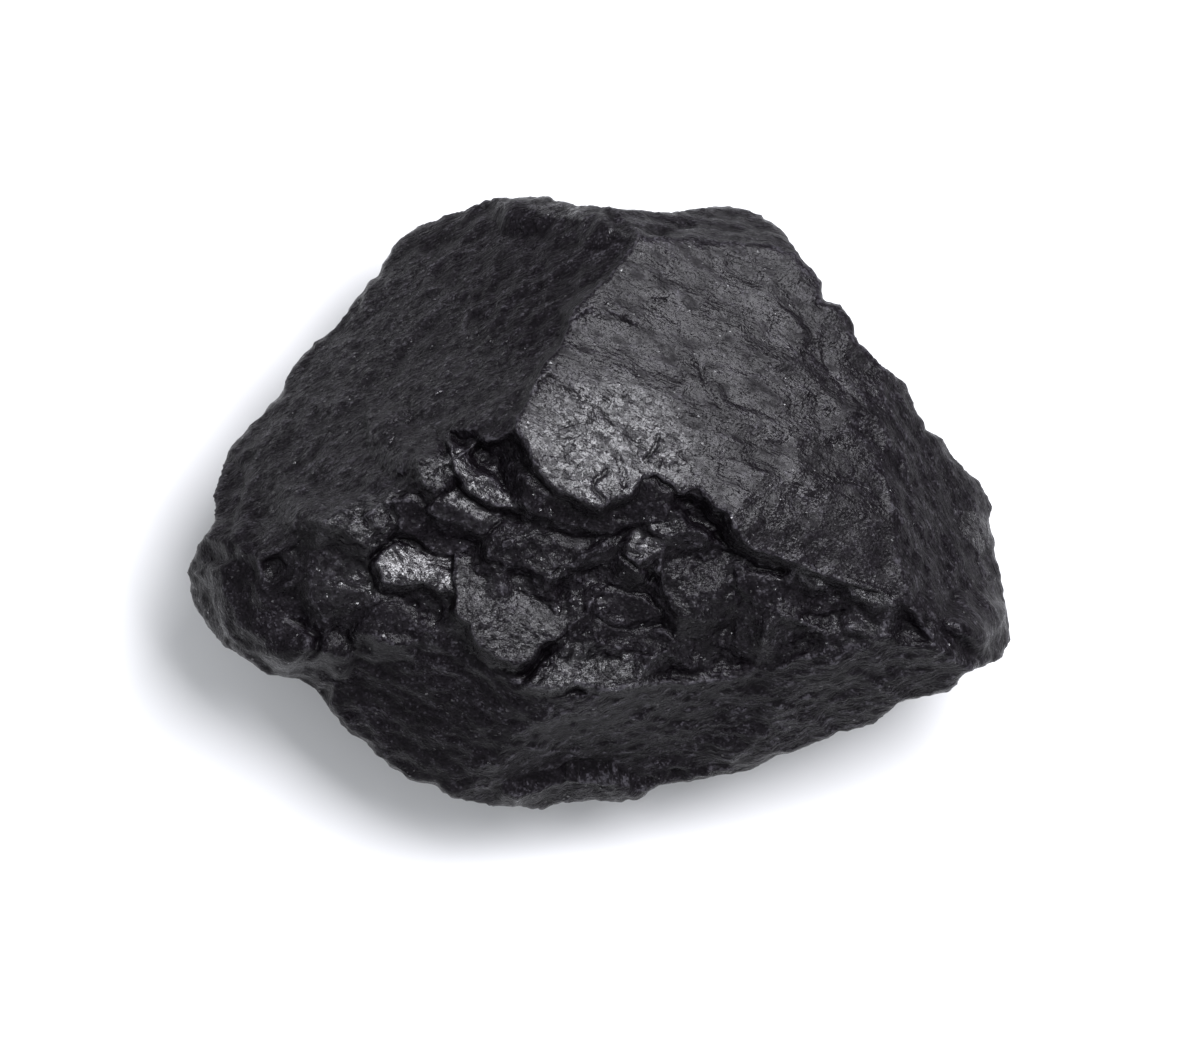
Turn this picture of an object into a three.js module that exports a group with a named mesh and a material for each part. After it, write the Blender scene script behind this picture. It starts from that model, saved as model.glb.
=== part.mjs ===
// A hand-sized lump of hard coal, broken out of a seam and lying on a flat
// parting. One natural piece: a pyramid-like top of smooth cleavage faces, one
// broken slope full of shards and pockets, and sides stepped along the bedding.
//
// The lump is star-shaped: every ray from its heart meets the surface once.
// So the surface is a function of the ray's direction, and the mesh is a cube's
// grid blown out to that surface and split where the surface bends most.
//
// Millimetres, +Z up, the lump resting on z = 0.
import * as THREE from 'three';
import { mergeVertices } from 'three/addons/utils/BufferGeometryUtils.js';

// ---------------------------------------------------------------- dimensions

const HEART = new THREE.Vector3(0, 0, 24);      // where every ray starts
const SUMMIT = [-9.5, 9, 48];                   // where the three top faces meet
const RIM_DROP = 0.9;                           // rim below the top faces' edge
const RIM_BEVEL = 0.3;                          // draws in above the rim, per mm
const RIM_DEPTH = 5;                            // the sides grow rough over this much
const UNDERCUT = 0.36;                          // draws in below the rim, per mm
const RIM_SPARE = 0.3;                          // makes up for what the top's bow cuts off the rim
const SIDE_SET_BACK = 0.35;                     // centres the relief of the sides
const SHARD_WALL = 1.3;                         // fall of a shard's edge, per mm, unless it has its own
const SHARD_REACH = 6;                          // how far beyond its edge a shard may show
const SLAB_WALL = 2.8;                          // fall of the slab's edge, per mm
const BOW_HEIGHT = 0.55;                        // how far a face bows
const BOW_LENGTH = 15;                          // from bow to bow
const FRACTURE_SIZE = 4.2;                      // across a bowl of the broken slope
const FRACTURE_DEPTH = 3.4;
const FRACTURE_TIP = 2.4;                       // how far a bowl may tilt
const FRACTURE_SEARCH = 2;                      // how many cells away a bowl may reach
const FRACTURE_RISE = 2.4;                      // lifts the bowls back to the slope
const LAYER = 3.4;                              // thickness of a bed in the sides
const LAYER_STEP = 0.55;                        // how far a bed stands out
const SIDE_SWELL = 0.9;                         // height of the slow swells of the sides
const SIDE_BOWL_SIZE = 7;                       // across a bowl of the sides
const SIDE_BOWL_DEPTH = 3;
const SIDE_BOWL_TIP = 1;
const BEDDING = new THREE.Vector3(-0.127, -0.412, 0.902);  // square to the beds

const START_GRID = 14;                          // squares along the first cube's edge
const SPLIT_ROUNDS = 5;
const CHORD_ERROR = 0.31;                       // an edge further off is split
const SHORTEST_SPLIT = 1.5;                     // no edge under this is split

// The lump's widest line, seen from above, anticlockwise from the right end.
const OUTLINE = [
  [49.9, -13.0], [49.2, -9.5], [48.4, -5.0], [47.5, -1.7], [48.0, -0.3], [46.0, 2.9], [43.0, 5.5],
  [41.5, 7.9], [39.6, 9.0], [38.0, 11.8], [37.2, 14.4], [35.2, 15.8], [32.8, 17.6], [30.8, 20.0],
  [30.7, 21.3], [29.2, 23.9], [27.5, 24.4], [27.1, 26.5], [24.9, 29.1], [22.9, 32.3], [20.9, 34.1],
  [18.5, 34.9], [16.0, 35.8], [14.3, 36.0], [8.5, 35.0], [3.8, 35.5], [0.3, 35.4], [-5.0, 36.4],
  [-6.5, 37.3], [-10.7, 37.1], [-13.2, 37.5], [-16.0, 36.7], [-20.0, 35.2], [-23.4, 33.4],
  [-24.8, 31.8], [-26.8, 27.7], [-29.2, 25.3], [-31.0, 22.4], [-34.9, 18.8], [-37.1, 16.6],
  [-38.9, 13.0], [-41.4, 10.0], [-43.7, 8.2], [-45.0, 6.5], [-45.8, 3.5], [-46.6, 1.0],
  [-46.4, -2.0], [-47.9, -4.0], [-49.9, -8.2], [-49.6, -11.3], [-48.1, -14.0], [-46.0, -16.3],
  [-42.9, -18.5], [-39.8, -20.5], [-36.3, -21.2], [-34.4, -22.2], [-31.9, -25.2], [-30.2, -27.9],
  [-27.6, -29.7], [-25.4, -31.9], [-22.3, -33.5], [-19.2, -34.4], [-17.8, -35.5], [-11.8, -36.5],
  [-10.4, -37.2], [-7.6, -37.6], [-4.5, -36.2], [4.6, -36.1], [7.7, -34.0], [14.6, -33.0],
  [18.2, -32.5], [25.1, -29.3], [29.4, -27.4], [33.6, -26.6], [35.6, -24.4], [38.7, -23.3],
  [42.6, -22.7], [44.4, -20.3], [49.2, -18.6], [49.9, -16.0],
];

// The top's faces: a point on each, its slope along x and y, and how fast it
// rolls off to the right. The surface is the lowest of them at every place.
const TOP_FACES = {
  bright: { through: SUMMIT, slope: [-0.16, -0.16], roll: 0.005 },
  dark: { through: SUMMIT, slope: [0.75, -0.738], roll: 0 },
  brokenLeft: { through: SUMMIT, slope: [0.17, 0.40], roll: 0 },
  brokenRight: { through: SUMMIT, slope: [0.00, 0.42], roll: 0 },
  lowerLeft: { through: [-14, -22, 33.2], slope: [0.32, 0.88], roll: 0 },
  lowerRight: { through: [13, -20.5, 35.6], slope: [-0.13, 1.27], roll: 0 },
  rightEnd: { through: [39, -8, 39.2], slope: [-0.95, 0.02], roll: 0 },
  rightNotch: { through: [34.8, 5, 39.2], slope: [-1.15, -0.20], roll: 0 },
  topRim: { through: [5, 32.4, 41.9], slope: [-0.35, -1.70], roll: 0 },
  leftEnd: { through: [-42, -8, 34.0], slope: [1.3, 0.55], roll: 0 },
  brightFold: { through: [20, 3, 44.2], slope: [-0.28, -0.04], roll: 0 },
};
const ROLL_START = 14;                          // the roll-off begins at this x

// The bright face is a slab that overhangs the broken slope along this edge.
const SLAB = [
  [-9.9, 10.2], [-9.5, 8.2], [-8.3, 6.5], [-7.5, 4.4], [-6.3, 2.9], [-4.7, 1.7], [-2.7, 0.8],
  [-1.2, -0.1], [0.6, -0.2], [1.7, 0.7], [3.4, 0.9], [4.7, 1.8], [5.4, 3.1], [6.9, 3.6],
  [8.4, 2.6], [9.5, 1.4], [10.8, 1.5], [11.7, 2.2], [12.6, 1.2], [14.2, -0.2],
  [15.6, -0.9], [16.5, -3.0], [18.2, -4.7], [20.3, -5.9], [23.5, -6.9], [27.5, -8.5],
  [34.0, -10.5], [40.0, -12.5], [48.0, -16.5], [62.0, -10.0], [50.0, 40.0], [5.0, 40.0],
  [4.6, 31.2], [3.0, 29.3], [1.2, 26.6], [-0.6, 25.4], [-1.9, 24.0], [-3.2, 22.0],
  [-4.1, 19.4], [-6.0, 17.0], [-7.3, 14.6], [-8.2, 12.3],
];

// Shards that stand out of the broken slope: edge, the point where the lift over
// the faces is measured, slope along x and y, and the rise of the middle.
const SHARDS = {
  bigPlate: {
    edge: [[-17.2, -6], [-17.6, -8.4], [-17, -11], [-16.9, -12.8], [-15.4, -14.6], [-13.8, -16.8],
      [-12.3, -18.3], [-10, -19.1], [-8.2, -18.6], [-6.8, -17], [-4.2, -15.6], [-3.4, -14.2],
      [-5.4, -12.6], [-6.2, -10], [-7.6, -8.6], [-10, -8], [-13.3, -6.6], [-15.4, -6.4]],
    at: [-11, -12], lift: 0.4, slope: [-0.16, -0.1], hump: 0.12, wall: 4, relief: 0.4,
  },
  paleChip: {
    edge: [[-17.6, 7], [-16.2, 6.6], [-15.2, 5], [-13.4, 3.2], [-11.6, 1.4], [-8.8, -0.3],
      [-11.2, -0.5], [-13.6, 0.2], [-15.6, 1.5], [-16.8, 3.6]],
    at: [-13.4, 2], lift: 0.7, slope: [-0.18, -0.14], hump: 0.12, wall: 3.2,
  },
  paleChipUpper: {
    edge: [[-21.6, 5.2], [-19.5, 5.8], [-17.8, 5.6], [-17.2, 3.8], [-18, 2], [-19.6, 1.6], [-21.2, 2.8]],
    at: [-19.5, 3.6], lift: 0.3, slope: [-0.16, -0.08], hump: 0.12,
  },
  shoulder: {
    edge: [[-18.4, 1.4], [-16, 1.4], [-13.5, 0], [-11.5, -0.8], [-12.4, -2.6], [-13.6, -3.6],
      [-16, -2.6], [-18.4, -2], [-20, -0.6]],
    at: [-14.6, -1.2], lift: 0.1, slope: [-0.1, 0.05], hump: 0.2,
  },
  flap: {
    edge: [[-24, 0.2], [-22.8, 0.6], [-20.6, -0.6], [-18.6, -2.2], [-15.4, -3.4], [-15, -5],
      [-17.4, -6.2], [-19.4, -5.6], [-21.6, -4.2], [-23.4, -3]],
    at: [-20, -3], lift: 0.0, slope: [0.0, 0.45], hump: -0.12,
  },
  middleLump: {
    edge: [[-13.4, -4.6], [-11.6, -2.8], [-8, -2.2], [-4, -3], [0.5, -3.2], [2.6, -5], [1.6, -6.2],
      [-1.5, -6.7], [-4, -7.2], [-5.6, -8.4], [-8.5, -7.8], [-11, -7], [-13.2, -6.2]],
    at: [-6, -5], lift: 0.0, slope: [-0.05, 0.22], hump: 0.3,
  },
  glassyBlock: {
    edge: [[-26.4, -7.4], [-25.4, -5.2], [-23.4, -4.6], [-21, -5.8], [-19, -6.2], [-17.4, -7],
      [-17.2, -10.6], [-19.2, -10.4], [-20.8, -9.4], [-23.2, -9.6], [-25.6, -9]],
    at: [-21, -8], lift: 0.7, slope: [-0.17, -0.16], hump: 0.06, wall: 2.6,
  },
  leftChunk: {
    edge: [[-33.8, -3.6], [-31, -3.8], [-29, -4.8], [-27.6, -6.4], [-26.7, -8.6], [-26.5, -10.6],
      [-28, -12.2], [-31, -12.6], [-33, -13.4], [-34.4, -11], [-34.6, -7]],
    at: [-30.5, -8], lift: 0.0, slope: [0.02, 0.16], hump: 0.28,
  },
  upperChunk: {
    edge: [[-28, 0.9], [-25.6, 1], [-24.6, -0.6], [-24.5, -3.2], [-25.6, -4.8], [-27.2, -5.6],
      [-28.6, -4.4], [-30.6, -3.2], [-33, -2.4], [-31, -0.6]],
    at: [-27.4, -2], lift: 0.2, slope: [-0.16, -0.04], hump: 0.2,
  },
  lowShard: {
    edge: [[-27, -12.6], [-24.5, -11.4], [-21.5, -11.6], [-20.2, -13.4], [-20.6, -15.6], [-23, -17],
      [-26.4, -16.6], [-28.6, -15.2]],
    at: [-24, -14], lift: 0.0, slope: [-0.05, 0.3], hump: 0.24,
  },
  lowLeftShard: {
    edge: [[-33, -14.4], [-30, -13.6], [-28.2, -14.6], [-28.4, -17], [-30.6, -18.4], [-33.2, -17.6]],
    at: [-30.8, -16], lift: 0.0, slope: [0.0, 0.25], hump: 0.2,
  },
  apron: {
    edge: [[-8.6, 2.4], [-5, 0.6], [-1, -0.6], [3, 0.4], [6, 2.6], [8.6, 1], [8, -1.6], [4.6, -2],
      [1.4, -3.4], [-3, -2.6], [-6.4, -1.6], [-9, 0]],
    at: [0, -1.4], lift: 1.4, slope: [-0.1, 0.5], hump: 0.1, wall: 1.5,
  },
  paleBump: {
    edge: [[3.5, -4.9], [4.2, -3.2], [6, -2], [8.4, -2.4], [9.4, -3.4], [8.4, -4.8], [6.6, -5.8],
      [5, -6.7], [3.9, -6.2]],
    at: [6.3, -4.2], lift: 0.4, slope: [-0.18, -0.12], hump: 0.16,
  },
  rightChunk: {
    edge: [[7.4, -6.8], [9.6, -5], [12.2, -5.2], [14.6, -7], [17.4, -9.2], [17, -11.2], [14.6, -13],
      [12.6, -13.8], [10.4, -13.4], [8.8, -12.4], [7.8, -9.8]],
    at: [12, -9.4], lift: 0.1, slope: [-0.18, 0.14], hump: 0.3,
  },
  lens: {
    edge: [[-2.8, -11.8], [-0.4, -10.6], [2.6, -10.6], [5.6, -11.6], [7.6, -13], [6, -14.2],
      [3.4, -14.4], [1.2, -13.8], [-0.6, -13], [-2.2, -12.6]],
    at: [2.4, -12.4], lift: 0.0, slope: [0.0, 0.16], hump: 0.2,
  },
  underLens: {
    edge: [[-4.6, -15], [-1.6, -13.8], [1.6, -14.8], [4.6, -15.4], [8.2, -15.4], [9.6, -16.8],
      [6.8, -17.8], [3, -17.2], [-0.6, -16], [-3.8, -16.2]],
    at: [2.4, -16], lift: -0.1, slope: [0.0, 0.5], hump: 0.16,
  },
  bottomBand: {
    edge: [[-8.6, -21.6], [-7.2, -19.9], [-6, -18.4], [-4.6, -17.4], [-2, -16.6], [1.2, -17],
      [3.4, -17.8], [5.4, -19], [6.4, -20.4], [7.6, -21.4], [4, -22.2], [0.5, -22.3], [-2.5, -21.9],
      [-5.5, -22.4]],
    at: [-1, -19.6], lift: 0.3, slope: [-0.15, -0.1], hump: 0.2, wall: 3,
  },
  rightSlab: {
    edge: [[16.6, -8.2], [20.4, -8.6], [23.6, -10], [27.6, -10.8], [30.6, -12.4], [27, -13],
      [22.4, -13], [19.6, -12], [17.6, -10.4]],
    at: [23, -10.8], lift: 0.0, slope: [-0.06, 0.36], hump: 0.16,
  },
  firstChip: {
    edge: [[23.6, -7.2], [25.4, -7.6], [27, -8.6], [27.8, -10], [26.2, -10.2], [24.4, -9.2]],
    at: [25.6, -8.8], lift: 0.4, slope: [-0.18, -0.05], hump: 0.12,
  },
  secondChip: {
    edge: [[29.8, -8.8], [32, -9.4], [34.6, -10.6], [36.2, -12.2], [33.4, -12.2], [30.6, -11]],
    at: [32.6, -10.8], lift: 0.4, slope: [-0.18, -0.02], hump: 0.12,
  },
  tail: {
    edge: [[36, -12], [39, -12.6], [43, -14.2], [46, -16], [41, -15.4], [37.2, -14]],
    at: [40, -13.8], lift: 0.1, slope: [-0.2, 0.3], hump: 0.12,
  },
  leftLobe: {
    edge: [[-42.6, -7.2], [-41, -9.6], [-39.4, -12], [-37.4, -14], [-34.8, -16.3], [-35.4, -18.6],
      [-38, -19.8], [-42, -18], [-46, -15], [-48.4, -12], [-48.6, -9.6], [-47, -8], [-44.6, -7]],
    at: [-37, -13], lift: 0.6, slope: [0.6, 0.42], hump: 0.28, wall: 3.2,
  },
  lowerLip: {
    edge: [[-10, -35.6], [-6, -34.6], [-2, -34.2], [5, -34.1], [10, -33], [16, -32], [18, -33.2],
      [14.6, -34.4], [8, -36], [4.6, -37.6], [-4.5, -38], [-7.6, -39]],
    at: [3, -35], lift: 0.75, slope: [-0.3, 1.1], hump: 0.08,
  },
};

// Pockets and troughs: edge, depth, and the width over which the edge falls in.
const HOLLOWS = {
  underSlab: {
    edge: [[-15, 8.2], [-12.5, 9.4], [-10.4, 9.4], [-9.6, 7.4], [-8, 4.4], [-6.3, 2.4], [-4, 0.6],
      [-7.6, -0.6], [-10, 1.2], [-12.8, 3.4], [-14.6, 6]],
    depth: 0.6, softness: 1.6,
  },
  belowSlab: {
    edge: [[-7, 0.4], [-3, -1], [2, -1.6], [7, 0.6], [9, -0.6], [8, -2.2], [4, -2.6], [-1, -3], [-6, -2]],
    depth: 0.3, softness: 1.6,
  },
  notch: {
    edge: [[-17.4, 8.2], [-15.6, 8.2], [-14, 7.6], [-13.6, 6.4], [-15, 6], [-16.4, 6.6]],
    depth: 1.8, softness: 1.3,
  },
  crevice: {
    edge: [[8, 1.4], [9.6, 1.3], [12, 0.2], [14, -1.2], [15.9, -2.3], [17.6, -4.4], [15.8, -4.9],
      [13.4, -3.6], [11.2, -2.3], [9.4, -0.7]],
    depth: 2.8, softness: 1.3,
  },
  middlePocket: {
    edge: [[-5.4, -9.4], [-3.5, -7.9], [0, -7.3], [2.6, -6.8], [4.6, -7.2], [6.2, -8.6],
      [7.2, -10.8], [5, -11], [2, -10.2], [-1, -10.2], [-4, -11.6]],
    depth: 1.1, softness: 1.3,
  },
  besidePlate: {
    edge: [[-21, -10.9], [-18, -11], [-16.4, -13.6], [-14, -16.8], [-12.6, -18.6], [-15, -18.6],
      [-18.4, -16.4], [-20, -13.6]],
    depth: 1.0, softness: 2.4,
  },
  rightPocket: {
    edge: [[17.8, -4.8], [20.6, -6.4], [23, -7.6], [22, -8.6], [18.6, -8], [16, -6.6], [14.8, -5.6]],
    depth: 1.0, softness: 1.3,
  },
  lobeTrough: {
    edge: [[-42.4, -7.2], [-39.5, -5.6], [-36.8, -4.2], [-34.8, -4.4], [-34.8, -8], [-34.2, -12],
      [-34, -16.4], [-36, -15.2], [-38.6, -12.6], [-41, -10.2], [-42.5, -8.4]],
    depth: 0.8, softness: 3,
  },
  sideNotch: {
    edge: [[-36.8, -18.9], [-35.4, -16.6], [-33.4, -16.4], [-32, -18.5], [-32.4, -22], [-33.5, -26],
      [-37.5, -24.5]],
    depth: 1.6, softness: 1.3,
  },
  lowerSweep: {
    edge: [[-9, -33.6], [-4, -28], [2, -25.4], [8, -22.6], [14, -20], [20, -17.4], [23, -20],
      [19, -25.4], [12, -31], [4, -33.4]],
    depth: 2.2, softness: 6,
  },
  brightGroove: {
    edge: [[8, 32], [9.6, 31.5], [11, 27], [12.8, 20], [11.4, 19.6], [9.4, 25], [8, 30]],
    depth: 0.6, softness: 2.4,
  },
  leftEdgeScoop: {
    edge: [[-46, 7], [-43, 5], [-42.2, 2.6], [-42.8, 0], [-44.4, -2.6], [-47.6, -2], [-48, 3]],
    depth: 1.0, softness: 1.6,
  },
};

// Big flat panels under the rim: compass angle each faces, how far it leans
// under, both in degrees, and the height where it starts.
const SIDE_PANELS = [
  { faces: 8, lean: 30, from: 24 }, { faces: 50, lean: 38, from: 30 }, { faces: 92, lean: 26, from: 26 },
  { faces: 135, lean: 40, from: 20 }, { faces: 172, lean: 24, from: 20 }, { faces: 208, lean: 42, from: 22 },
  { faces: 250, lean: 30, from: 20 }, { faces: 290, lean: 46, from: 18 }, { faces: 330, lean: 32, from: 16 },
];

// Shell-like scoops knocked out of the back and the ends.
const SIDE_SCOOPS = [
  { middle: [-48, 40, -2], radius: 31.5 }, { middle: [60, 40, 2], radius: 38 },
  { middle: [30, -66, -4], radius: 40 }, { middle: [-58, -46, -6], radius: 38 },
];

// ------------------------------------------------------------- steady noise

const FAR = 1000;                               // further than any face
const clamp01 = (v) => THREE.MathUtils.clamp(v, 0, 1);
const smooth = (v) => THREE.MathUtils.smoothstep(v, 0, 1);

// A steady random number from 0 to 1 for each whole point of space.
function lattice(i, j, k, seed) {
  let h = Math.imul(i, 73856093) ^ Math.imul(j, 19349663) ^ Math.imul(k, 83492791);
  h ^= Math.imul(seed, 2654435761);
  h = Math.imul(h ^ (h >>> 15), 2246822519);
  h = Math.imul(h ^ (h >>> 13), 3266489917);
  return ((h ^ (h >>> 16)) >>> 0) / 4294967295;
}

// Smooth hills from -1 to 1: the eight corner values of a cell, blended.
function hills(x, y, z, seed) {
  const [i, j, k] = [Math.floor(x), Math.floor(y), Math.floor(z)];
  const [u, v, w] = [smooth(x - i), smooth(y - j), smooth(z - k)];
  let sum = 0;
  for (const di of [0, 1]) {
    for (const dj of [0, 1]) {
      for (const dk of [0, 1]) {
        const share = (di ? u : 1 - u) * (dj ? v : 1 - v) * (dk ? w : 1 - w);
        sum += share * lattice(i + di, j + dj, k + dk, seed);
      }
    }
  }
  return 2 * sum - 1;
}

// Hills on hills: each octave half the size and half the height of the last.
function fractal(p, size, octaves, seed) {
  const shift = 17.3;                           // keeps the octaves' cells apart
  let total = 0;
  let heights = 0;
  for (let n = 0; n < octaves; n += 1) {
    const scale = 2 ** n / size;
    const height = 0.5 ** n;
    const aside = shift * n;
    total += height * hills(p.x * scale + aside, p.y * scale + aside, p.z * scale + aside, seed + n);
    heights += height;
  }
  return total / heights;
}

// Broken relief: the lowest of many small bowls, one around each random point of
// space, each tilted its own way by up to tip. Neighbours meet in sharp ridges,
// as coal's shell-like breaks do. Strongly tilted bowls reach further, so more
// cells around the point are searched for them.
function bowls(p, size, seed, tip, search) {
  const [x, y, z] = [p.x / size, p.y / size, p.z / size];
  const [i, j, k] = [Math.floor(x), Math.floor(y), Math.floor(z)];
  let lowest = FAR;
  for (let a = i - search; a <= i + search; a += 1) {
    for (let b = j - search; b <= j + search; b += 1) {
      for (let c = k - search; c <= k + search; c += 1) {
        const random = (n) => lattice(a, b, c, seed + n);
        const [dx, dy, dz] = [x - a - random(0), y - b - random(1), z - c - random(2)];
        const tilt = dx * (random(5) - 0.5) + dy * (random(6) - 0.5) + dz * (random(7) - 0.5);
        const height = tip * tilt + 0.5 * (random(8) - 0.5) + 0.55 * (dx * dx + dy * dy + dz * dz);
        lowest = Math.min(lowest, height);
      }
    }
  }
  return lowest - 0.12;
}

// ------------------------------------------------------------------- the top

// Height of a face over (x, y): its plane, less the roll-off.
const faceHeight = ({ through: [px, py, pz], slope: [sx, sy], roll }, x, y) => (
  pz + sx * (x - px) + sy * (y - py) - roll * Math.max(0, x - ROLL_START) ** 2
);

const topHeight = (x, y) => Math.min(...Object.values(TOP_FACES).map((face) => faceHeight(face, x, y)));

// Distance from (x, y) to a closed edge, positive inside it.
function insideBy(x, y, edge) {
  let nearest = FAR * FAR;
  let inside = false;
  edge.forEach(([ax, ay], n) => {
    const [bx, by] = edge[(n + 1) % edge.length];
    const [ex, ey] = [bx - ax, by - ay];
    const t = clamp01(((x - ax) * ex + (y - ay) * ey) / (ex * ex + ey * ey));
    nearest = Math.min(nearest, (x - ax - t * ex) ** 2 + (y - ay - t * ey) ** 2);
    if ((ay > y) !== (by > y) && x < (ex * (y - ay)) / ey + ax) {
      inside = !inside;
    }
  });
  return inside ? Math.sqrt(nearest) : -Math.sqrt(nearest);
}

// What changes slowly over the top, found once for each ray.
function reliefAt(p) {
  const bow = {};
  Object.entries(TOP_FACES).forEach(([name, { slope: [sx, sy] }], n) => {
    bow[name] = BOW_HEIGHT * Math.hypot(1, sx, sy) * fractal(p, BOW_LENGTH, 2, 40 + 7 * n);
  });
  const lowest = bowls(p, FRACTURE_SIZE, 400, FRACTURE_TIP, FRACTURE_SEARCH);
  const fracture = FRACTURE_DEPTH * lowest + FRACTURE_RISE;
  return { bow, fracture };
}

// Height of the top over (x, y).
function crownHeight(x, y, { bow, fracture }) {
  const plane = {};
  for (const [name, face] of Object.entries(TOP_FACES)) {
    plane[name] = faceHeight(face, x, y) + bow[name];
  }
  const { bright, brokenLeft, brokenRight, ...around } = plane;
  const edges = Math.min(...Object.values(around));
  let broken = Math.min(brokenLeft, brokenRight);
  broken += fracture * smooth((Math.min(edges, bright + 6) - broken) / 1.5 + 0.3);
  let height = Math.min(broken, edges, bright);
  for (const { edge, depth, softness } of Object.values(HOLLOWS)) {
    height -= depth * smooth(insideBy(x, y, edge) / softness + 0.5);
  }
  for (const shard of Object.values(SHARDS)) {
    const { edge, at: [ax, ay], lift, slope: [sx, sy], hump, wall = SHARD_WALL, relief = 1 } = shard;
    const inside = insideBy(x, y, edge);
    if (inside < -SHARD_REACH) continue;
    const flat = topHeight(ax, ay) + lift + sx * (x - ax) + sy * (y - ay);
    const rounded = flat + hump * (smooth(inside / 2.5) - 0.6) + 0.4 * relief * fracture;
    height = Math.max(height, Math.min(rounded - wall * Math.max(0, -inside), bright + 0.2));
  }
  const slab = Math.min(bright, plane.brightFold, plane.rightEnd, plane.rightNotch, plane.topRim);
  return Math.max(height, slab - SLAB_WALL * Math.max(0, -insideBy(x, y, SLAB)));
}

// ----------------------------------------------------------------- the sides

const outlineByAngle = OUTLINE
  .map(([x, y]) => ({ x, y, angle: Math.atan2(y, x) }))
  .sort((a, b) => a.angle - b.angle);

// Distance from the middle to the outline, looking along a compass angle.
function outlineReach(angle) {
  const found = outlineByAngle.findIndex((point) => point.angle >= angle);
  const b = outlineByAngle[Math.max(found, 0)];
  const a = outlineByAngle.at(Math.max(found, 0) - 1);
  const [ex, ey] = [b.x - a.x, b.y - a.y];
  return (a.x * ey - a.y * ex) / (Math.cos(angle) * ey - Math.sin(angle) * ex);
}

// Distance along a ray to a plane at this distance from the heart.
const meet = (distance, facing) => (facing > 1e-3 ? distance / facing : FAR);

// Distance along a ray to the sides and to the flat base, and the rim's height.
function sideReach(ray) {
  const angle = Math.atan2(ray.y, ray.x);
  const across = Math.hypot(ray.x, ray.y);
  const reach = outlineReach(angle);
  const rim = topHeight(reach * Math.cos(angle), reach * Math.sin(angle)) - RIM_DROP - HEART.z;
  let side = Math.min(
    meet(reach + RIM_BEVEL * rim, across + RIM_BEVEL * ray.z),
    meet(reach - UNDERCUT * rim, across - UNDERCUT * ray.z),
  );
  for (const { faces, lean, from } of SIDE_PANELS) {
    const turn = THREE.MathUtils.degToRad(faces);
    const tip = THREE.MathUtils.degToRad(lean);
    const widest = Math.max(...OUTLINE.map(([x, y]) => x * Math.cos(turn) + y * Math.sin(turn)));
    const level = Math.cos(tip);
    const normal = new THREE.Vector3(Math.cos(turn) * level, Math.sin(turn) * level, -Math.sin(tip));
    const distance = Math.cos(tip) * widest - Math.sin(tip) * (from - HEART.z);
    side = Math.min(side, meet(distance, ray.dot(normal)));
  }
  for (const { middle, radius } of SIDE_SCOOPS) {
    const toMiddle = new THREE.Vector3(...middle).sub(HEART);
    const along = ray.dot(toMiddle);
    const square = along * along - toMiddle.lengthSq() + radius * radius;
    if (square > 0 && along > 0) {
      side = Math.min(side, along - Math.sqrt(square));
    }
  }
  const base = meet(HEART.z, -ray.z);
  return { side: Math.min(side, base), base, rim: rim + HEART.z };
}

// Beds that stand out in steps, bowls between them, and slow swells.
function sideRelief(p) {
  const bed = (p.dot(BEDDING) + 1.6 * fractal(p, 16, 3, 70)) / LAYER;
  const within = bed - Math.floor(bed);
  const step = Math.floor(bed) + clamp01((within - 0.5) * 6 + 0.5) - bed;
  const warp = 0.8 * fractal(p, 5, 2, 5);
  const warped = new THREE.Vector3(p.x + warp, p.y + warp, p.z + warp);
  const broken = SIDE_BOWL_DEPTH * bowls(warped, SIDE_BOWL_SIZE, 200, SIDE_BOWL_TIP, 1);
  return SIDE_SWELL * fractal(p, 11, 3, 90) + LAYER_STEP * step + broken;
}

// ---------------------------------------------------------------- the surface

// Where a ray from the heart leaves the lump.
function surfacePoint(ray) {
  const { side, base, rim } = sideReach(ray);
  const onRay = (distance) => HEART.clone().addScaledVector(ray, distance);
  const aboveBase = 1 - clamp01((side - base) / 2 + 1);
  const belowRim = smooth(Math.abs(rim - onRay(side).z) / RIM_DEPTH);
  const relief = (sideRelief(onRay(side)) - SIDE_SET_BACK) * belowRim + RIM_SPARE;
  let reach = Math.min(base, side + relief * aboveBase);

  let top = FAR;
  for (const { through: [px, py, pz], slope: [sx, sy] } of Object.values(TOP_FACES)) {
    top = Math.min(top, meet(pz - HEART.z - sx * px - sy * py, ray.z - sx * ray.x - sy * ray.y));
  }
  if (top < side * 1.35) {
    const start = Math.min(top, side);
    const topRelief = reliefAt(onRay(start));
    let inner = start - 10;
    let outer = start + 6;
    for (let n = 0; n < 14; n += 1) {
      const middle = (inner + outer) / 2;
      const p = onRay(middle);
      if (p.z > crownHeight(p.x, p.y, topRelief)) {
        outer = middle;
      } else {
        inner = middle;
      }
    }
    reach = Math.min(reach, inner);
  }
  return onRay(reach);
}

// ------------------------------------------------------------------- the mesh

// A cube's grid on the unit ball, as shared rays and triangles.
function startingMesh() {
  const cube = new THREE.BoxGeometry(2, 2, 2, START_GRID, START_GRID, START_GRID);
  cube.deleteAttribute('normal');
  cube.deleteAttribute('uv');
  const merged = mergeVertices(cube);
  const { array } = merged.attributes.position;
  const rays = [];
  for (let n = 0; n < array.length; n += 3) {
    const even = [...array.slice(n, n + 3)].map((v) => Math.tan((v * Math.PI) / 4));
    rays.push(new THREE.Vector3(...even).normalize());
  }
  const index = [...merged.index.array];
  const triangles = [];
  for (let n = 0; n < index.length; n += 3) {
    triangles.push(index.slice(n, n + 3));
  }
  return { rays, triangles };
}

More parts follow.
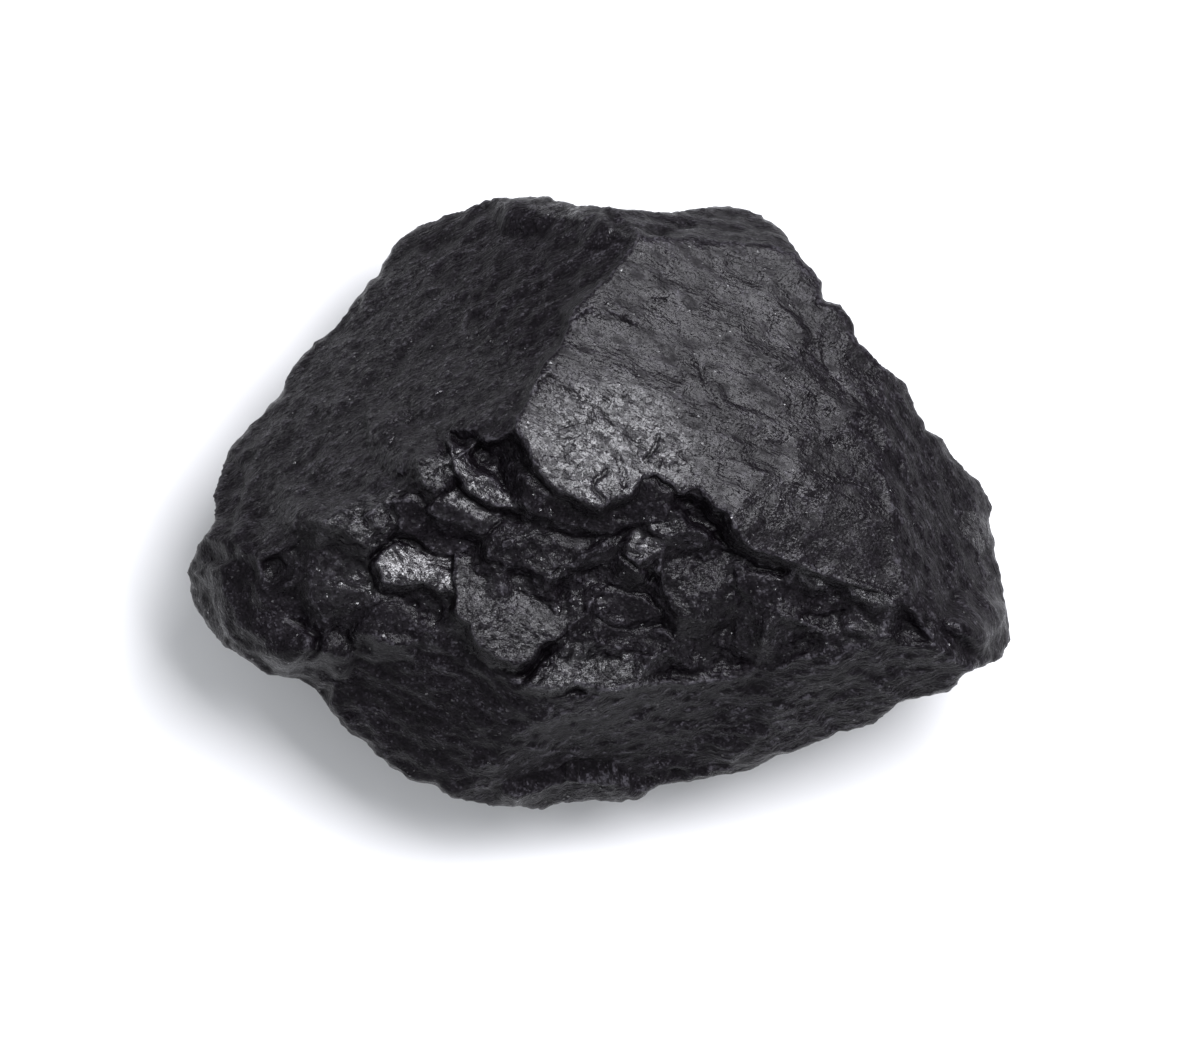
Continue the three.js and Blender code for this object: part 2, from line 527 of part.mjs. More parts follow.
// Splits each edge whose middle is off the surface, until the mesh follows it.
function followSurface({ rays, triangles }) {
  const points = rays.map(surfacePoint);
  const judged = new Map();
  const key = (a, b) => (a < b ? `${a},${b}` : `${b},${a}`);

  // The new point on an edge, or null where the edge is close enough.
  const middleOf = (a, b) => {
    const name = key(a, b);
    if (!judged.has(name)) {
      const ray = rays[a].clone().add(rays[b]).normalize();
      const point = surfacePoint(ray);
      const chord = points[a].clone().add(points[b]).multiplyScalar(0.5);
      const far = points[a].distanceTo(points[b]) > SHORTEST_SPLIT && chord.distanceTo(point) > CHORD_ERROR;
      judged.set(name, far ? points.push(point) - 1 : null);
      if (far) {
        rays.push(ray);
      }
    }
    return judged.get(name);
  };

  let current = triangles;
  for (let round = 0; round < SPLIT_ROUNDS; round += 1) {
    current = current.flatMap(([a, b, c]) => {
      const corners = [a, b, c];
      const middles = [middleOf(a, b), middleOf(b, c), middleOf(c, a)];
      const split = middles.filter((m) => m !== null).length;
      if (split === 0) {
        return [corners];
      }
      if (split === 3) {
        const [ab, bc, ca] = middles;
        return [[a, ab, ca], [ab, b, bc], [ca, bc, c], [ab, bc, ca]];
      }
      if (split === 1) {
        const n = middles.findIndex((m) => m !== null);
        const [p, q, r] = [corners[n], corners[(n + 1) % 3], corners[(n + 2) % 3]];
        return [[p, middles[n], r], [middles[n], q, r]];
      }
      const n = middles.findIndex((m) => m === null);
      const [p, q, r] = [corners[n], corners[(n + 1) % 3], corners[(n + 2) % 3]];
      const qr = middles[(n + 1) % 3];
      const rp = middles[(n + 2) % 3];
      return [[rp, qr, r], [p, q, rp], [q, qr, rp]];
    });
  }
  return { points, triangles: current };
}

function coalGeometry() {
  const { points, triangles } = followSurface(startingMesh());
  const geometry = new THREE.BufferGeometry().setFromPoints(points);
  geometry.setIndex(triangles.flat());
  geometry.computeBoundingBox();
  const box = geometry.boundingBox;
  geometry.translate(-(box.min.x + box.max.x) / 2, -(box.min.y + box.max.y) / 2, -box.min.z);
  geometry.computeVertexNormals();
  return geometry;
}

// ------------------------------------------------------------------- the part

const coal = new THREE.MeshStandardMaterial({ color: 0x2b292d, roughness: 0.5, metalness: 0 });
const lump = new THREE.Mesh(coalGeometry(), coal);
lump.name = 'coal_lump';

const part = new THREE.Group();
part.add(lump);

export default part;
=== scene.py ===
"""A hand-sized lump of hard coal on a pale table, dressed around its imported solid."""
import math

import bpy
import numpy as np
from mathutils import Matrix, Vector


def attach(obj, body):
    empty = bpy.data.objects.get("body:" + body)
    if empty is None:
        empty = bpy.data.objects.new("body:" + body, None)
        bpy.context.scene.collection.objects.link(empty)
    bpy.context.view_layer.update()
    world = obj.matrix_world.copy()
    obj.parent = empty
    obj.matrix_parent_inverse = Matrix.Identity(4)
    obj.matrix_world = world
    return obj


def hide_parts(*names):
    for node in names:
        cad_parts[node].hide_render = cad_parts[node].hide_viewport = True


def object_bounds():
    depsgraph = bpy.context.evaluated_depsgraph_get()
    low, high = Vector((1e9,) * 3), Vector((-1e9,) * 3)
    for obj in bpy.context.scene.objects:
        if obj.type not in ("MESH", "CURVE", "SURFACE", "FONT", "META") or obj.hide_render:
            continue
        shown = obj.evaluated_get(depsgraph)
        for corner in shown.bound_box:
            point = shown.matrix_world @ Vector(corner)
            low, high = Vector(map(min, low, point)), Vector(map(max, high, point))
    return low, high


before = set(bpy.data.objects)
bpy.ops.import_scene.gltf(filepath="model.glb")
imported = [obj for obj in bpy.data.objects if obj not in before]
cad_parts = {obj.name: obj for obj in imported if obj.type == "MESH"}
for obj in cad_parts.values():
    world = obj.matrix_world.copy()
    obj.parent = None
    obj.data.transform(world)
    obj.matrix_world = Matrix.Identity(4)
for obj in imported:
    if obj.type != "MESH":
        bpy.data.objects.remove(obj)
cad_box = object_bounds()


# ---------------------------------------------------------------------------
# The lump. One natural piece of hard coal, broken out of a seam. Its top is a
# low pyramid: two smooth cleavage faces, and one broken slope of glassy shards.
# The sides draw in under the rim, stepped along the bedding, to a flat parting.
# ---------------------------------------------------------------------------

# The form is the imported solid's own, in millimetres, with finer relief on it:
# every ray from the heart meets the surface once. BEDDING is the direction
# across the beds, and FAR is further than any point of the lump.
HEART = np.array([0.0, 0.0, 24.0])
SUMMIT = (-9.5, 9.0, 48.0)
BEDDING = np.array([-0.127, -0.412, 0.902])
FAR = 1000.0

# The lump's edge seen from straight above, anticlockwise.
OUTLINE = np.array([
    (49.9, -13.0), (49.2, -9.5), (48.4, -5.0), (47.5, -1.7), (48.0, -0.3), (46.0, 2.9), (43.0, 5.5),
    (41.5, 7.9), (39.6, 9.0), (38.0, 11.8), (37.2, 14.4), (35.2, 15.8), (32.8, 17.6), (30.8, 20.0),
    (30.7, 21.3), (29.2, 23.9), (27.5, 24.4), (27.1, 26.5), (24.9, 29.1), (22.9, 32.3), (20.9, 34.1),
    (18.5, 34.9), (16.0, 35.8), (14.3, 36.0), (8.5, 35.0), (3.8, 35.5), (0.3, 35.4), (-5.0, 36.4),
    (-6.5, 37.3), (-10.7, 37.1), (-13.2, 37.5), (-16.0, 36.7), (-20.0, 35.2), (-23.4, 33.4),
    (-24.8, 31.8), (-26.8, 27.7), (-29.2, 25.3), (-31.0, 22.4), (-34.9, 18.8), (-37.1, 16.6),
    (-38.9, 13.0), (-41.4, 10.0), (-43.7, 8.2), (-45.0, 6.5), (-45.8, 3.5), (-46.6, 1.0),
    (-46.4, -2.0), (-47.9, -4.0), (-49.9, -8.2), (-49.6, -11.3), (-48.1, -14.0), (-46.0, -16.3),
    (-42.9, -18.5), (-39.8, -20.5), (-36.3, -21.2), (-34.4, -22.2), (-31.9, -25.2), (-30.2, -27.9),
    (-27.6, -29.7), (-25.4, -31.9), (-22.3, -33.5), (-19.2, -34.4), (-17.8, -35.5), (-11.8, -36.5),
    (-10.4, -37.2), (-7.6, -37.6), (-4.5, -36.2), (4.6, -36.1), (7.7, -34.0), (14.6, -33.0),
    (18.2, -32.5), (25.1, -29.3), (29.4, -27.4), (33.6, -26.6), (35.6, -24.4), (38.7, -23.3),
    (42.6, -22.7), (44.4, -20.3), (49.2, -18.6), (49.9, -16.0),
])

# The top's faces: a point on each, its slope along x and y, how fast it rolls
# off to the right, how deep its relief is, and how marked its streaks are.
TOP_FACES = {
    "bright": (SUMMIT, (-0.16, -0.16), 0.005, 0.7, 0.4),
    "dark": (SUMMIT, (0.75, -0.738), 0, 0.08, 0.5),
    "broken_left": (SUMMIT, (0.17, 0.40), 0, 0.5, 0.3),
    "broken_right": (SUMMIT, (0.00, 0.42), 0, 0.5, 0.3),
    "lower_left": ((-14, -22, 33.2), (0.32, 0.88), 0, 0.15, 0.4),
    "lower_right": ((13, -20.5, 35.6), (-0.13, 1.27), 0, 0.16, 1.0),
    "right_end": ((39, -8, 39.2), (-0.95, 0.02), 0, 0.3, 0.6),
    "right_notch": ((34.8, 5, 39.2), (-1.15, -0.20), 0, 0.6, 0.6),
    "top_rim": ((5, 32.4, 41.9), (-0.35, -1.70), 0, 0.6, 0.6),
    "left_end": ((-42, -8, 34.0), (1.3, 0.55), 0, 0.4, 0.3),
    "bright_fold": ((20, 3, 44.2), (-0.28, -0.04), 0, 0.7, 0.4),
}
ROLL_START = 14.0       # the roll-off begins at this x

# The bright face is a slab that overhangs the broken slope along this edge.
SLAB = [
    (-9.9, 10.2), (-9.5, 8.2), (-8.3, 6.5), (-7.5, 4.4), (-6.3, 2.9), (-4.7, 1.7), (-2.7, 0.8),
    (-1.2, -0.1), (0.6, -0.2), (1.7, 0.7), (3.4, 0.9), (4.7, 1.8), (5.4, 3.1), (6.9, 3.6),
    (8.4, 2.6), (9.5, 1.4), (10.8, 1.5), (11.7, 2.2), (12.6, 1.2), (14.2, -0.2),
    (15.6, -0.9), (16.5, -3.0), (18.2, -4.7), (20.3, -5.9), (23.5, -6.9), (27.5, -8.5),
    (34.0, -10.5), (40.0, -12.5), (48.0, -16.5), (62.0, -10.0), (50.0, 40.0), (5.0, 40.0),
    (4.6, 31.2), (3.0, 29.3), (1.2, 26.6), (-0.6, 25.4), (-1.9, 24.0), (-3.2, 22.0),
    (-4.1, 19.4), (-6.0, 17.0), (-7.3, 14.6), (-8.2, 12.3),
]


def steady_random(cell, seed):
    """A steady random number from 0 to 1 for each whole point of space: its coordinates times three
    large primes and a start from the seed are joined by exclusive or, and then the bits are mixed."""
    i, j, k = (c.astype(np.int64).astype(np.uint32) for c in cell.T)
    start = np.uint32(seed * 2654435761 % 2**32)
    h = i * np.uint32(73856093) ^ j * np.uint32(19349663) ^ k * np.uint32(83492791) ^ start
    h = (h ^ (h >> np.uint32(15))) * np.uint32(2246822519)
    h = (h ^ (h >> np.uint32(13))) * np.uint32(3266489917)
    return (h ^ (h >> np.uint32(16))) / 4294967295.0


def smooth(v):
    """Smooth step from 0 to 1 as v goes from 0 to 1: 3 v squared less 2 v cubed."""
    v = np.clip(v, 0, 1)
    return v * v * (3 - 2 * v)


def hills(p, seed):
    """Smooth hills from -1 to 1: the random numbers at the eight corners of each cell of space,
    blended by a smooth step along each axis."""
    cell = np.floor(p)
    w = smooth(p - cell)
    total = 0.0
    for corner in np.ndindex(2, 2, 2):
        share = np.prod(np.where(corner, w, 1 - w), axis=1)
        total = total + share * steady_random(cell + corner, seed)
    return 2 * total - 1


def fractal(p, size, octaves, seed):
    """Hills on hills: each octave is half the size and half the height of the last."""
    heights = 0.5 ** np.arange(octaves)
    total = sum(h * hills(p * 2.0 ** n / size + 17.3 * n, seed + n) for n, h in enumerate(heights))
    return total / heights.sum()


def bowls(p, size, seed, tip=1.0, search=1):
    """Broken relief: the lowest of many small bowls, one around a random point of each cell. A bowl
    is 0.55 times the square of the distance to its point, tilted its own way by up to half of tip and
    lifted by up to 0.25. Neighbours meet in sharp ridges, as coal's shell-like breaks do. A strongly
    tilted bowl reaches further, so its cells are searched further out."""
    g = p / size
    cell = np.floor(g)
    lowest = np.full(len(p), FAR)
    for offset in np.ndindex(*[2 * search + 1] * 3):
        near = cell + np.array(offset) - search
        d = g - near - np.stack([steady_random(near, seed + n) for n in range(3)], axis=1)
        tilt = tip * (np.stack([steady_random(near, seed + n) for n in (5, 6, 7)], axis=1) - 0.5)
        height = (d * tilt).sum(1) + 0.5 * (steady_random(near, seed + 8) - 0.5) + 0.55 * (d * d).sum(1)
        lowest = np.minimum(lowest, height)
    return lowest - 0.12


def near_edge(x, y, edge, margin):
    """True for the points within margin of the box around an edge."""
    low, high = np.min(edge, axis=0) - margin, np.max(edge, axis=0) + margin
    return (x > low[0]) & (x < high[0]) & (y > low[1]) & (y < high[1])


def line_distance(x, y, line):
    """Distance from each point to the nearest stretch of a broken line."""
    nearest = np.full(x.shape, FAR * FAR)
    for (ax, ay), (bx, by) in zip(line[:-1], line[1:]):
        ex, ey = bx - ax, by - ay
        t = np.clip(((x - ax) * ex + (y - ay) * ey) / (ex * ex + ey * ey), 0, 1)
        nearest = np.minimum(nearest, (x - ax - t * ex) ** 2 + (y - ay - t * ey) ** 2)
    return np.sqrt(nearest)


def inside_by(x, y, edge):
    """Distance from each point to a closed edge, positive inside it. A point is inside where a line
    from it towards +x crosses the edge an odd number of times."""
    closed = list(edge) + [edge[0]]
    inside = np.zeros(x.shape, bool)
    for (ax, ay), (bx, by) in zip(closed[:-1], closed[1:]):
        if ay != by:
            inside ^= ((ay > y) != (by > y)) & (x < (bx - ax) * (y - ay) / (by - ay) + ax)
    return np.where(inside, 1, -1) * line_distance(x, y, closed)


def plane_height(face, x, y):
    """Height of a top face over (x, y): its plane, less its roll-off times the square of how far x
    lies past the start."""
    (px, py, pz), (sx, sy), roll, *_ = face
    return pz + sx * (x - px) + sy * (y - py) - roll * np.maximum(0, x - ROLL_START) ** 2


def top_height(x, y):
    """Height of the bare top over (x, y): the lowest of its planes."""
    return np.minimum.reduce([plane_height(face, x, y) for face in TOP_FACES.values()])


# Shards that stand out of the broken slope: edge, the point where the lift over
# the faces is measured, lift, slope along x and y, and the rise of the middle.
# A few have a wall, the fall of the edge per mm, or a relief, the share of the
# slope's own relief on them. Gloss and grain say how glassy and sugary they are.
SHARDS = {
    "big_plate": dict(
        edge=[(-17.2, -6), (-17.6, -8.4), (-17, -11), (-16.9, -12.8), (-15.4, -14.6), (-13.8, -16.8),
              (-12.3, -18.3), (-10, -19.1), (-8.2, -18.6), (-6.8, -17), (-4.2, -15.6), (-3.4, -14.2),
              (-5.4, -12.6), (-6.2, -10), (-7.6, -8.6), (-10, -8), (-13.3, -6.6), (-15.4, -6.4)],
        at=(-11, -12), lift=0.4, slope=(-0.16, -0.1), hump=0.12, wall=4, relief=0.4, gloss=0.6, grain=0.45),
    "pale_chip": dict(
        edge=[(-17.6, 7), (-16.2, 6.6), (-15.2, 5), (-13.4, 3.2), (-11.6, 1.4), (-8.8, -0.3),
              (-11.2, -0.5), (-13.6, 0.2), (-15.6, 1.5), (-16.8, 3.6)],
        at=(-13.4, 2), lift=0.7, slope=(-0.18, -0.14), hump=0.12, wall=3.2, gloss=0.8, grain=0.2),
    "pale_chip_upper": dict(
        edge=[(-21.6, 5.2), (-19.5, 5.8), (-17.8, 5.6), (-17.2, 3.8), (-18, 2), (-19.6, 1.6), (-21.2, 2.8)],
        at=(-19.5, 3.6), lift=0.3, slope=(-0.16, -0.08), hump=0.12, gloss=0.95, grain=0.9),
    "shoulder": dict(
        edge=[(-18.4, 1.4), (-16, 1.4), (-13.5, 0), (-11.5, -0.8), (-12.4, -2.6), (-13.6, -3.6),
              (-16, -2.6), (-18.4, -2), (-20, -0.6)],
        at=(-14.6, -1.2), lift=0.1, slope=(-0.1, 0.05), hump=0.2, gloss=0.6, grain=0.1),
    "flap": dict(
        edge=[(-24, 0.2), (-22.8, 0.6), (-20.6, -0.6), (-18.6, -2.2), (-15.4, -3.4), (-15, -5),
              (-17.4, -6.2), (-19.4, -5.6), (-21.6, -4.2), (-23.4, -3)],
        at=(-20, -3), lift=0.0, slope=(0.0, 0.45), hump=-0.12, gloss=0.3, grain=0.2),
    "middle_lump": dict(
        edge=[(-13.4, -4.6), (-11.6, -2.8), (-8, -2.2), (-4, -3), (0.5, -3.2), (2.6, -5), (1.6, -6.2),
              (-1.5, -6.7), (-4, -7.2), (-5.6, -8.4), (-8.5, -7.8), (-11, -7), (-13.2, -6.2)],
        at=(-6, -5), lift=0.0, slope=(-0.05, 0.22), hump=0.3, gloss=0.5, grain=0.5),
    "glassy_block": dict(
        edge=[(-26.4, -7.4), (-25.4, -5.2), (-23.4, -4.6), (-21, -5.8), (-19, -6.2), (-17.4, -7),
              (-17.2, -10.6), (-19.2, -10.4), (-20.8, -9.4), (-23.2, -9.6), (-25.6, -9)],
        at=(-21, -8), lift=0.7, slope=(-0.17, -0.16), hump=0.06, wall=2.6, gloss=1.2, grain=0.3),
    "left_chunk": dict(
        edge=[(-33.8, -3.6), (-31, -3.8), (-29, -4.8), (-27.6, -6.4), (-26.7, -8.6), (-26.5, -10.6),
              (-28, -12.2), (-31, -12.6), (-33, -13.4), (-34.4, -11), (-34.6, -7)],
        at=(-30.5, -8), lift=0.0, slope=(0.02, 0.16), hump=0.28, gloss=0.6, grain=0.3),
    "upper_chunk": dict(
        edge=[(-28, 0.9), (-25.6, 1), (-24.6, -0.6), (-24.5, -3.2), (-25.6, -4.8), (-27.2, -5.6),
              (-28.6, -4.4), (-30.6, -3.2), (-33, -2.4), (-31, -0.6)],
        at=(-27.4, -2), lift=0.2, slope=(-0.16, -0.04), hump=0.2, gloss=0.9, grain=0.9),
    "low_shard": dict(
        edge=[(-27, -12.6), (-24.5, -11.4), (-21.5, -11.6), (-20.2, -13.4), (-20.6, -15.6), (-23, -17),
              (-26.4, -16.6), (-28.6, -15.2)],
        at=(-24, -14), lift=0.0, slope=(-0.05, 0.3), hump=0.24, gloss=0.3, grain=0.2),
    "low_left_shard": dict(
        edge=[(-33, -14.4), (-30, -13.6), (-28.2, -14.6), (-28.4, -17), (-30.6, -18.4), (-33.2, -17.6)],
        at=(-30.8, -16), lift=0.0, slope=(0.0, 0.25), hump=0.2, gloss=0.5, grain=0.6),
    "apron": dict(
        edge=[(-8.6, 2.4), (-5, 0.6), (-1, -0.6), (3, 0.4), (6, 2.6), (8.6, 1), (8, -1.6), (4.6, -2),
              (1.4, -3.4), (-3, -2.6), (-6.4, -1.6), (-9, 0)],
        at=(0, -1.4), lift=1.4, slope=(-0.1, 0.5), hump=0.1, wall=1.5, gloss=0.45, grain=0.4),
    "pale_bump": dict(
        edge=[(3.5, -4.9), (4.2, -3.2), (6, -2), (8.4, -2.4), (9.4, -3.4), (8.4, -4.8), (6.6, -5.8),
              (5, -6.7), (3.9, -6.2)],
        at=(6.3, -4.2), lift=0.4, slope=(-0.18, -0.12), hump=0.16, gloss=0.75, grain=0.3),
    "right_chunk": dict(
        edge=[(7.4, -6.8), (9.6, -5), (12.2, -5.2), (14.6, -7), (17.4, -9.2), (17, -11.2), (14.6, -13),
              (12.6, -13.8), (10.4, -13.4), (8.8, -12.4), (7.8, -9.8)],
        at=(12, -9.4), lift=0.1, slope=(-0.18, 0.14), hump=0.3, gloss=0.55, grain=0.6),
    "lens": dict(
        edge=[(-2.8, -11.8), (-0.4, -10.6), (2.6, -10.6), (5.6, -11.6), (7.6, -13), (6, -14.2),
              (3.4, -14.4), (1.2, -13.8), (-0.6, -13), (-2.2, -12.6)],
        at=(2.4, -12.4), lift=0.0, slope=(0.0, 0.16), hump=0.2, gloss=0.4, grain=0.3),
    "under_lens": dict(
        edge=[(-4.6, -15), (-1.6, -13.8), (1.6, -14.8), (4.6, -15.4), (8.2, -15.4), (9.6, -16.8),
              (6.8, -17.8), (3, -17.2), (-0.6, -16), (-3.8, -16.2)],
        at=(2.4, -16), lift=-0.1, slope=(0.0, 0.5), hump=0.16, gloss=0.3, grain=0.5),
    "bottom_band": dict(
        edge=[(-8.6, -21.6), (-7.2, -19.9), (-6, -18.4), (-4.6, -17.4), (-2, -16.6), (1.2, -17),
              (3.4, -17.8), (5.4, -19), (6.4, -20.4), (7.6, -21.4), (4, -22.2), (0.5, -22.3),
              (-2.5, -21.9), (-5.5, -22.4)],
        at=(-1, -19.6), lift=0.3, slope=(-0.15, -0.1), hump=0.2, wall=3, gloss=0.95, grain=0.8),
    "right_slab": dict(
        edge=[(16.6, -8.2), (20.4, -8.6), (23.6, -10), (27.6, -10.8), (30.6, -12.4), (27, -13),
              (22.4, -13), (19.6, -12), (17.6, -10.4)],
        at=(23, -10.8), lift=0.0, slope=(-0.06, 0.36), hump=0.16, gloss=0.3, grain=0.4),
    "first_chip": dict(
        edge=[(23.6, -7.2), (25.4, -7.6), (27, -8.6), (27.8, -10), (26.2, -10.2), (24.4, -9.2)],
        at=(25.6, -8.8), lift=0.4, slope=(-0.18, -0.05), hump=0.12, gloss=0.9, grain=0.8),
    "second_chip": dict(
        edge=[(29.8, -8.8), (32, -9.4), (34.6, -10.6), (36.2, -12.2), (33.4, -12.2), (30.6, -11)],
        at=(32.6, -10.8), lift=0.4, slope=(-0.18, -0.02), hump=0.12, gloss=0.9, grain=0.9),
    "tail": dict(
        edge=[(36, -12), (39, -12.6), (43, -14.2), (46, -16), (41, -15.4), (37.2, -14)],
        at=(40, -13.8), lift=0.1, slope=(-0.2, 0.3), hump=0.12, gloss=0.3, grain=0.5),
    "left_lobe": dict(
        edge=[(-42.6, -7.2), (-41, -9.6), (-39.4, -12), (-37.4, -14), (-34.8, -16.3), (-35.4, -18.6),
              (-38, -19.8), (-42, -18), (-46, -15), (-48.4, -12), (-48.6, -9.6), (-47, -8), (-44.6, -7)],
        at=(-37, -13), lift=0.6, slope=(0.6, 0.42), hump=0.28, wall=3.2, gloss=0.2, grain=0.2),
    "corner_chip": dict(
        edge=[(-8.2, 35.6), (-6.4, 36.6), (-3.8, 36.2), (-1.6, 35), (-1.4, 33.8), (-4.4, 34.2), (-7, 34.6)],
        at=(-4.6, 35), lift=0.3, slope=(-0.05, -0.55), hump=0.1, gloss=0.9, grain=0.6),
    "crest_chip": dict(
        edge=[(1, 33.4), (3.2, 33), (5, 32), (4.6, 31.2), (2.6, 31.6), (0.8, 32.4)],
        at=(3, 32.2), lift=0.2, slope=(-0.10, -0.40), hump=0.1, gloss=0.8, grain=0.6),
    "end_chip": dict(
        edge=[(44.2, -0.8), (46, -0.6), (47.6, -2.2), (48, -5), (46.6, -6.4), (45, -4.6), (43.8, -2.6)],
        at=(45.8, -3.4), lift=0.3, slope=(-0.45, -0.25), hump=0.15, gloss=0.8, grain=0.7),
    "lower_lip": dict(
        edge=[(-10, -35.6), (-6, -34.6), (-2, -34.2), (5, -34.1), (10, -33), (16, -32), (18, -33.2),
              (14.6, -34.4), (8, -36), (4.6, -37.6), (-4.5, -38), (-7.6, -39)],
        at=(3, -35), lift=0.75, slope=(-0.3, 1.1), hump=0.08, gloss=0.4, grain=0.5),
}

# Pockets and troughs: edge, depth, and the width over which the edge falls in.
HOLLOWS = {
    "under_slab": ([(-15, 8.2), (-12.5, 9.4), (-10.4, 9.4), (-9.6, 7.4), (-8, 4.4), (-6.3, 2.4),
                    (-4, 0.6), (-7.6, -0.6), (-10, 1.2), (-12.8, 3.4), (-14.6, 6)], 0.6, 1.6),
    "below_slab": ([(-7, 0.4), (-3, -1), (2, -1.6), (7, 0.6), (9, -0.6), (8, -2.2), (4, -2.6),
                    (-1, -3), (-6, -2)], 0.3, 1.6),
    "notch": ([(-17.4, 8.2), (-15.6, 8.2), (-14, 7.6), (-13.6, 6.4), (-15, 6), (-16.4, 6.6)], 1.8, 1.3),
    "crevice": ([(8, 1.4), (9.6, 1.3), (12, 0.2), (14, -1.2), (15.9, -2.3), (17.6, -4.4), (15.8, -4.9),
                 (13.4, -3.6), (11.2, -2.3), (9.4, -0.7)], 2.8, 1.3),
    "middle_pocket": ([(-5.4, -9.4), (-3.5, -7.9), (0, -7.3), (2.6, -6.8), (4.6, -7.2), (6.2, -8.6),
                       (7.2, -10.8), (5, -11), (2, -10.2), (-1, -10.2), (-4, -11.6)], 1.1, 1.3),
    "beside_plate": ([(-21, -10.9), (-18, -11), (-16.4, -13.6), (-14, -16.8), (-12.6, -18.6),
                      (-15, -18.6), (-18.4, -16.4), (-20, -13.6)], 1.0, 2.4),
    "right_pocket": ([(17.8, -4.8), (20.6, -6.4), (23, -7.6), (22, -8.6), (18.6, -8), (16, -6.6),
                      (14.8, -5.6)], 1.0, 1.3),
    "lobe_trough": ([(-42.4, -7.2), (-39.5, -5.6), (-36.8, -4.2), (-34.8, -4.4), (-34.8, -8),
                     (-34.2, -12), (-34, -16.4), (-36, -15.2), (-38.6, -12.6), (-41, -10.2),
                     (-42.5, -8.4)], 0.8, 3.0),
    "side_notch": ([(-36.8, -18.9), (-35.4, -16.6), (-33.4, -16.4), (-32, -18.5), (-32.4, -22),
                    (-33.5, -26), (-37.5, -24.5)], 1.6, 1.3),
    "lower_sweep": ([(-9, -33.6), (-4, -28), (2, -25.4), (8, -22.6), (14, -20), (20, -17.4), (23, -20),
                     (19, -25.4), (12, -31), (4, -33.4)], 2.2, 6.0),
    "bright_groove": ([(8, 32), (9.6, 31.5), (11, 27), (12.8, 20), (11.4, 19.6), (9.4, 25),
                       (8, 30)], 0.6, 2.4),
    "left_edge_scoop": ([(-46, 7), (-43, 5), (-42.2, 2.6), (-42.8, 0), (-44.4, -2.6), (-47.6, -2),
                         (-48, 3)], 1.0, 1.6),
}

# Cracks too fine for the solid: line, width and depth.
CRACKS = [
    ([(-24.2, 0.4), (-24, -2), (-24.2, -3.8), (-25.2, -4.9), (-26.6, -6.4)], 0.45, 0.8),
    ([(-24, -4.2), (-22.4, -4.3), (-20.6, -5.3)], 0.5, 0.7),
    ([(-13.8, -4), (-13.6, -5.6), (-13.2, -6.8)], 0.4, 0.6),
    ([(2.4, -6), (4.2, -6.8), (5.8, -7.9), (7, -9.6), (8, -11.4)], 0.55, 0.8),
    ([(28, 4.3), (30, 3.1), (32.2, 1.9)], 0.4, 0.3),
    ([(0.9, 0.4), (-0.4, 1.6), (-0.1, 3.0), (1.0, 3.9)], 0.4, 0.4),
    ([(7.2, 8.2), (6.6, 6.6), (5.8, 5.2)], 0.35, 0.35),
    ([(8.4, 5.6), (7.9, 4.6), (8.8, 2.6)], 0.4, 0.4),
    ([(2.4, 5.8), (2.6, 4.2), (3.4, 3.2), (3.2, 2)], 0.3, 0.25),
    ([(10.2, 20.4), (12.2, 17.2), (13.2, 13.4), (15.2, 10)], 0.45, 0.2),
    ([(-40.8, 10.4), (-37.4, 15), (-33.4, 19), (-30, 23.2), (-27.6, 27.6)], 0.7, 0.5),
    ([(-16.5, -34.2), (-13, -32.8), (-10, -31.4), (-6, -29.4), (-2.5, -27.4)], 0.6, 0.5),
    ([(-2, -33.7), (5, -33.6), (10, -32.5), (16, -31.5)], 0.6, 0.9),
]

SHARD_WALL = 1.3        # fall of a shard's edge, per mm, unless it has a wall of its own
SHARD_REACH = 6         # no shard's edge reaches further out than this
SLAB_WALL = 2.8         # fall of the slab's edge, per mm
SHARD_COVER = 0.2       # how far a shard may stand over the bright face
FRACTURE_DEPTH = 3.4    # depth of the large bowls of the broken slope
FRACTURE_RISE = 2.4     # the slope is raised by this much, as the bowls only cut in


def slow_relief(p):
    """What changes slowly over the top: each face's bow, which is measured square to the face and so
    is larger straight up where the face is steep, and the large bowls of the broken slope."""
    bow = {}
    for n, (name, (_, slope, *_)) in enumerate(TOP_FACES.items()):
        bow[name] = 0.55 * math.hypot(1, *slope) * fractal(p, 15, 2, 40 + 7 * n)
    return bow, FRACTURE_DEPTH * bowls(p, 4.2, 400, 2.4, 2) + FRACTURE_RISE


def streaks(p, size, seed):
    """Bedding streaks from -1 to 1: hills that are long in the beds and thin across them."""
    across = p @ BEDDING
    in_bed = p - 0.85 * np.outer(across, BEDDING)
    return fractal(np.stack([in_bed[:, 0] / 6, across, in_bed[:, 1] / 6], axis=1), size, 3, seed)


def step_down(bed, steepness):
    """Beds as steps, from -0.5 to 0.5: the bed's number, plus a smooth step up in the middle of the
    bed, less the distance across the beds. So the surface falls slowly, and rises in short steps."""
    return np.floor(bed) + smooth((bed - np.floor(bed) - 0.5) * steepness + 0.5) - bed


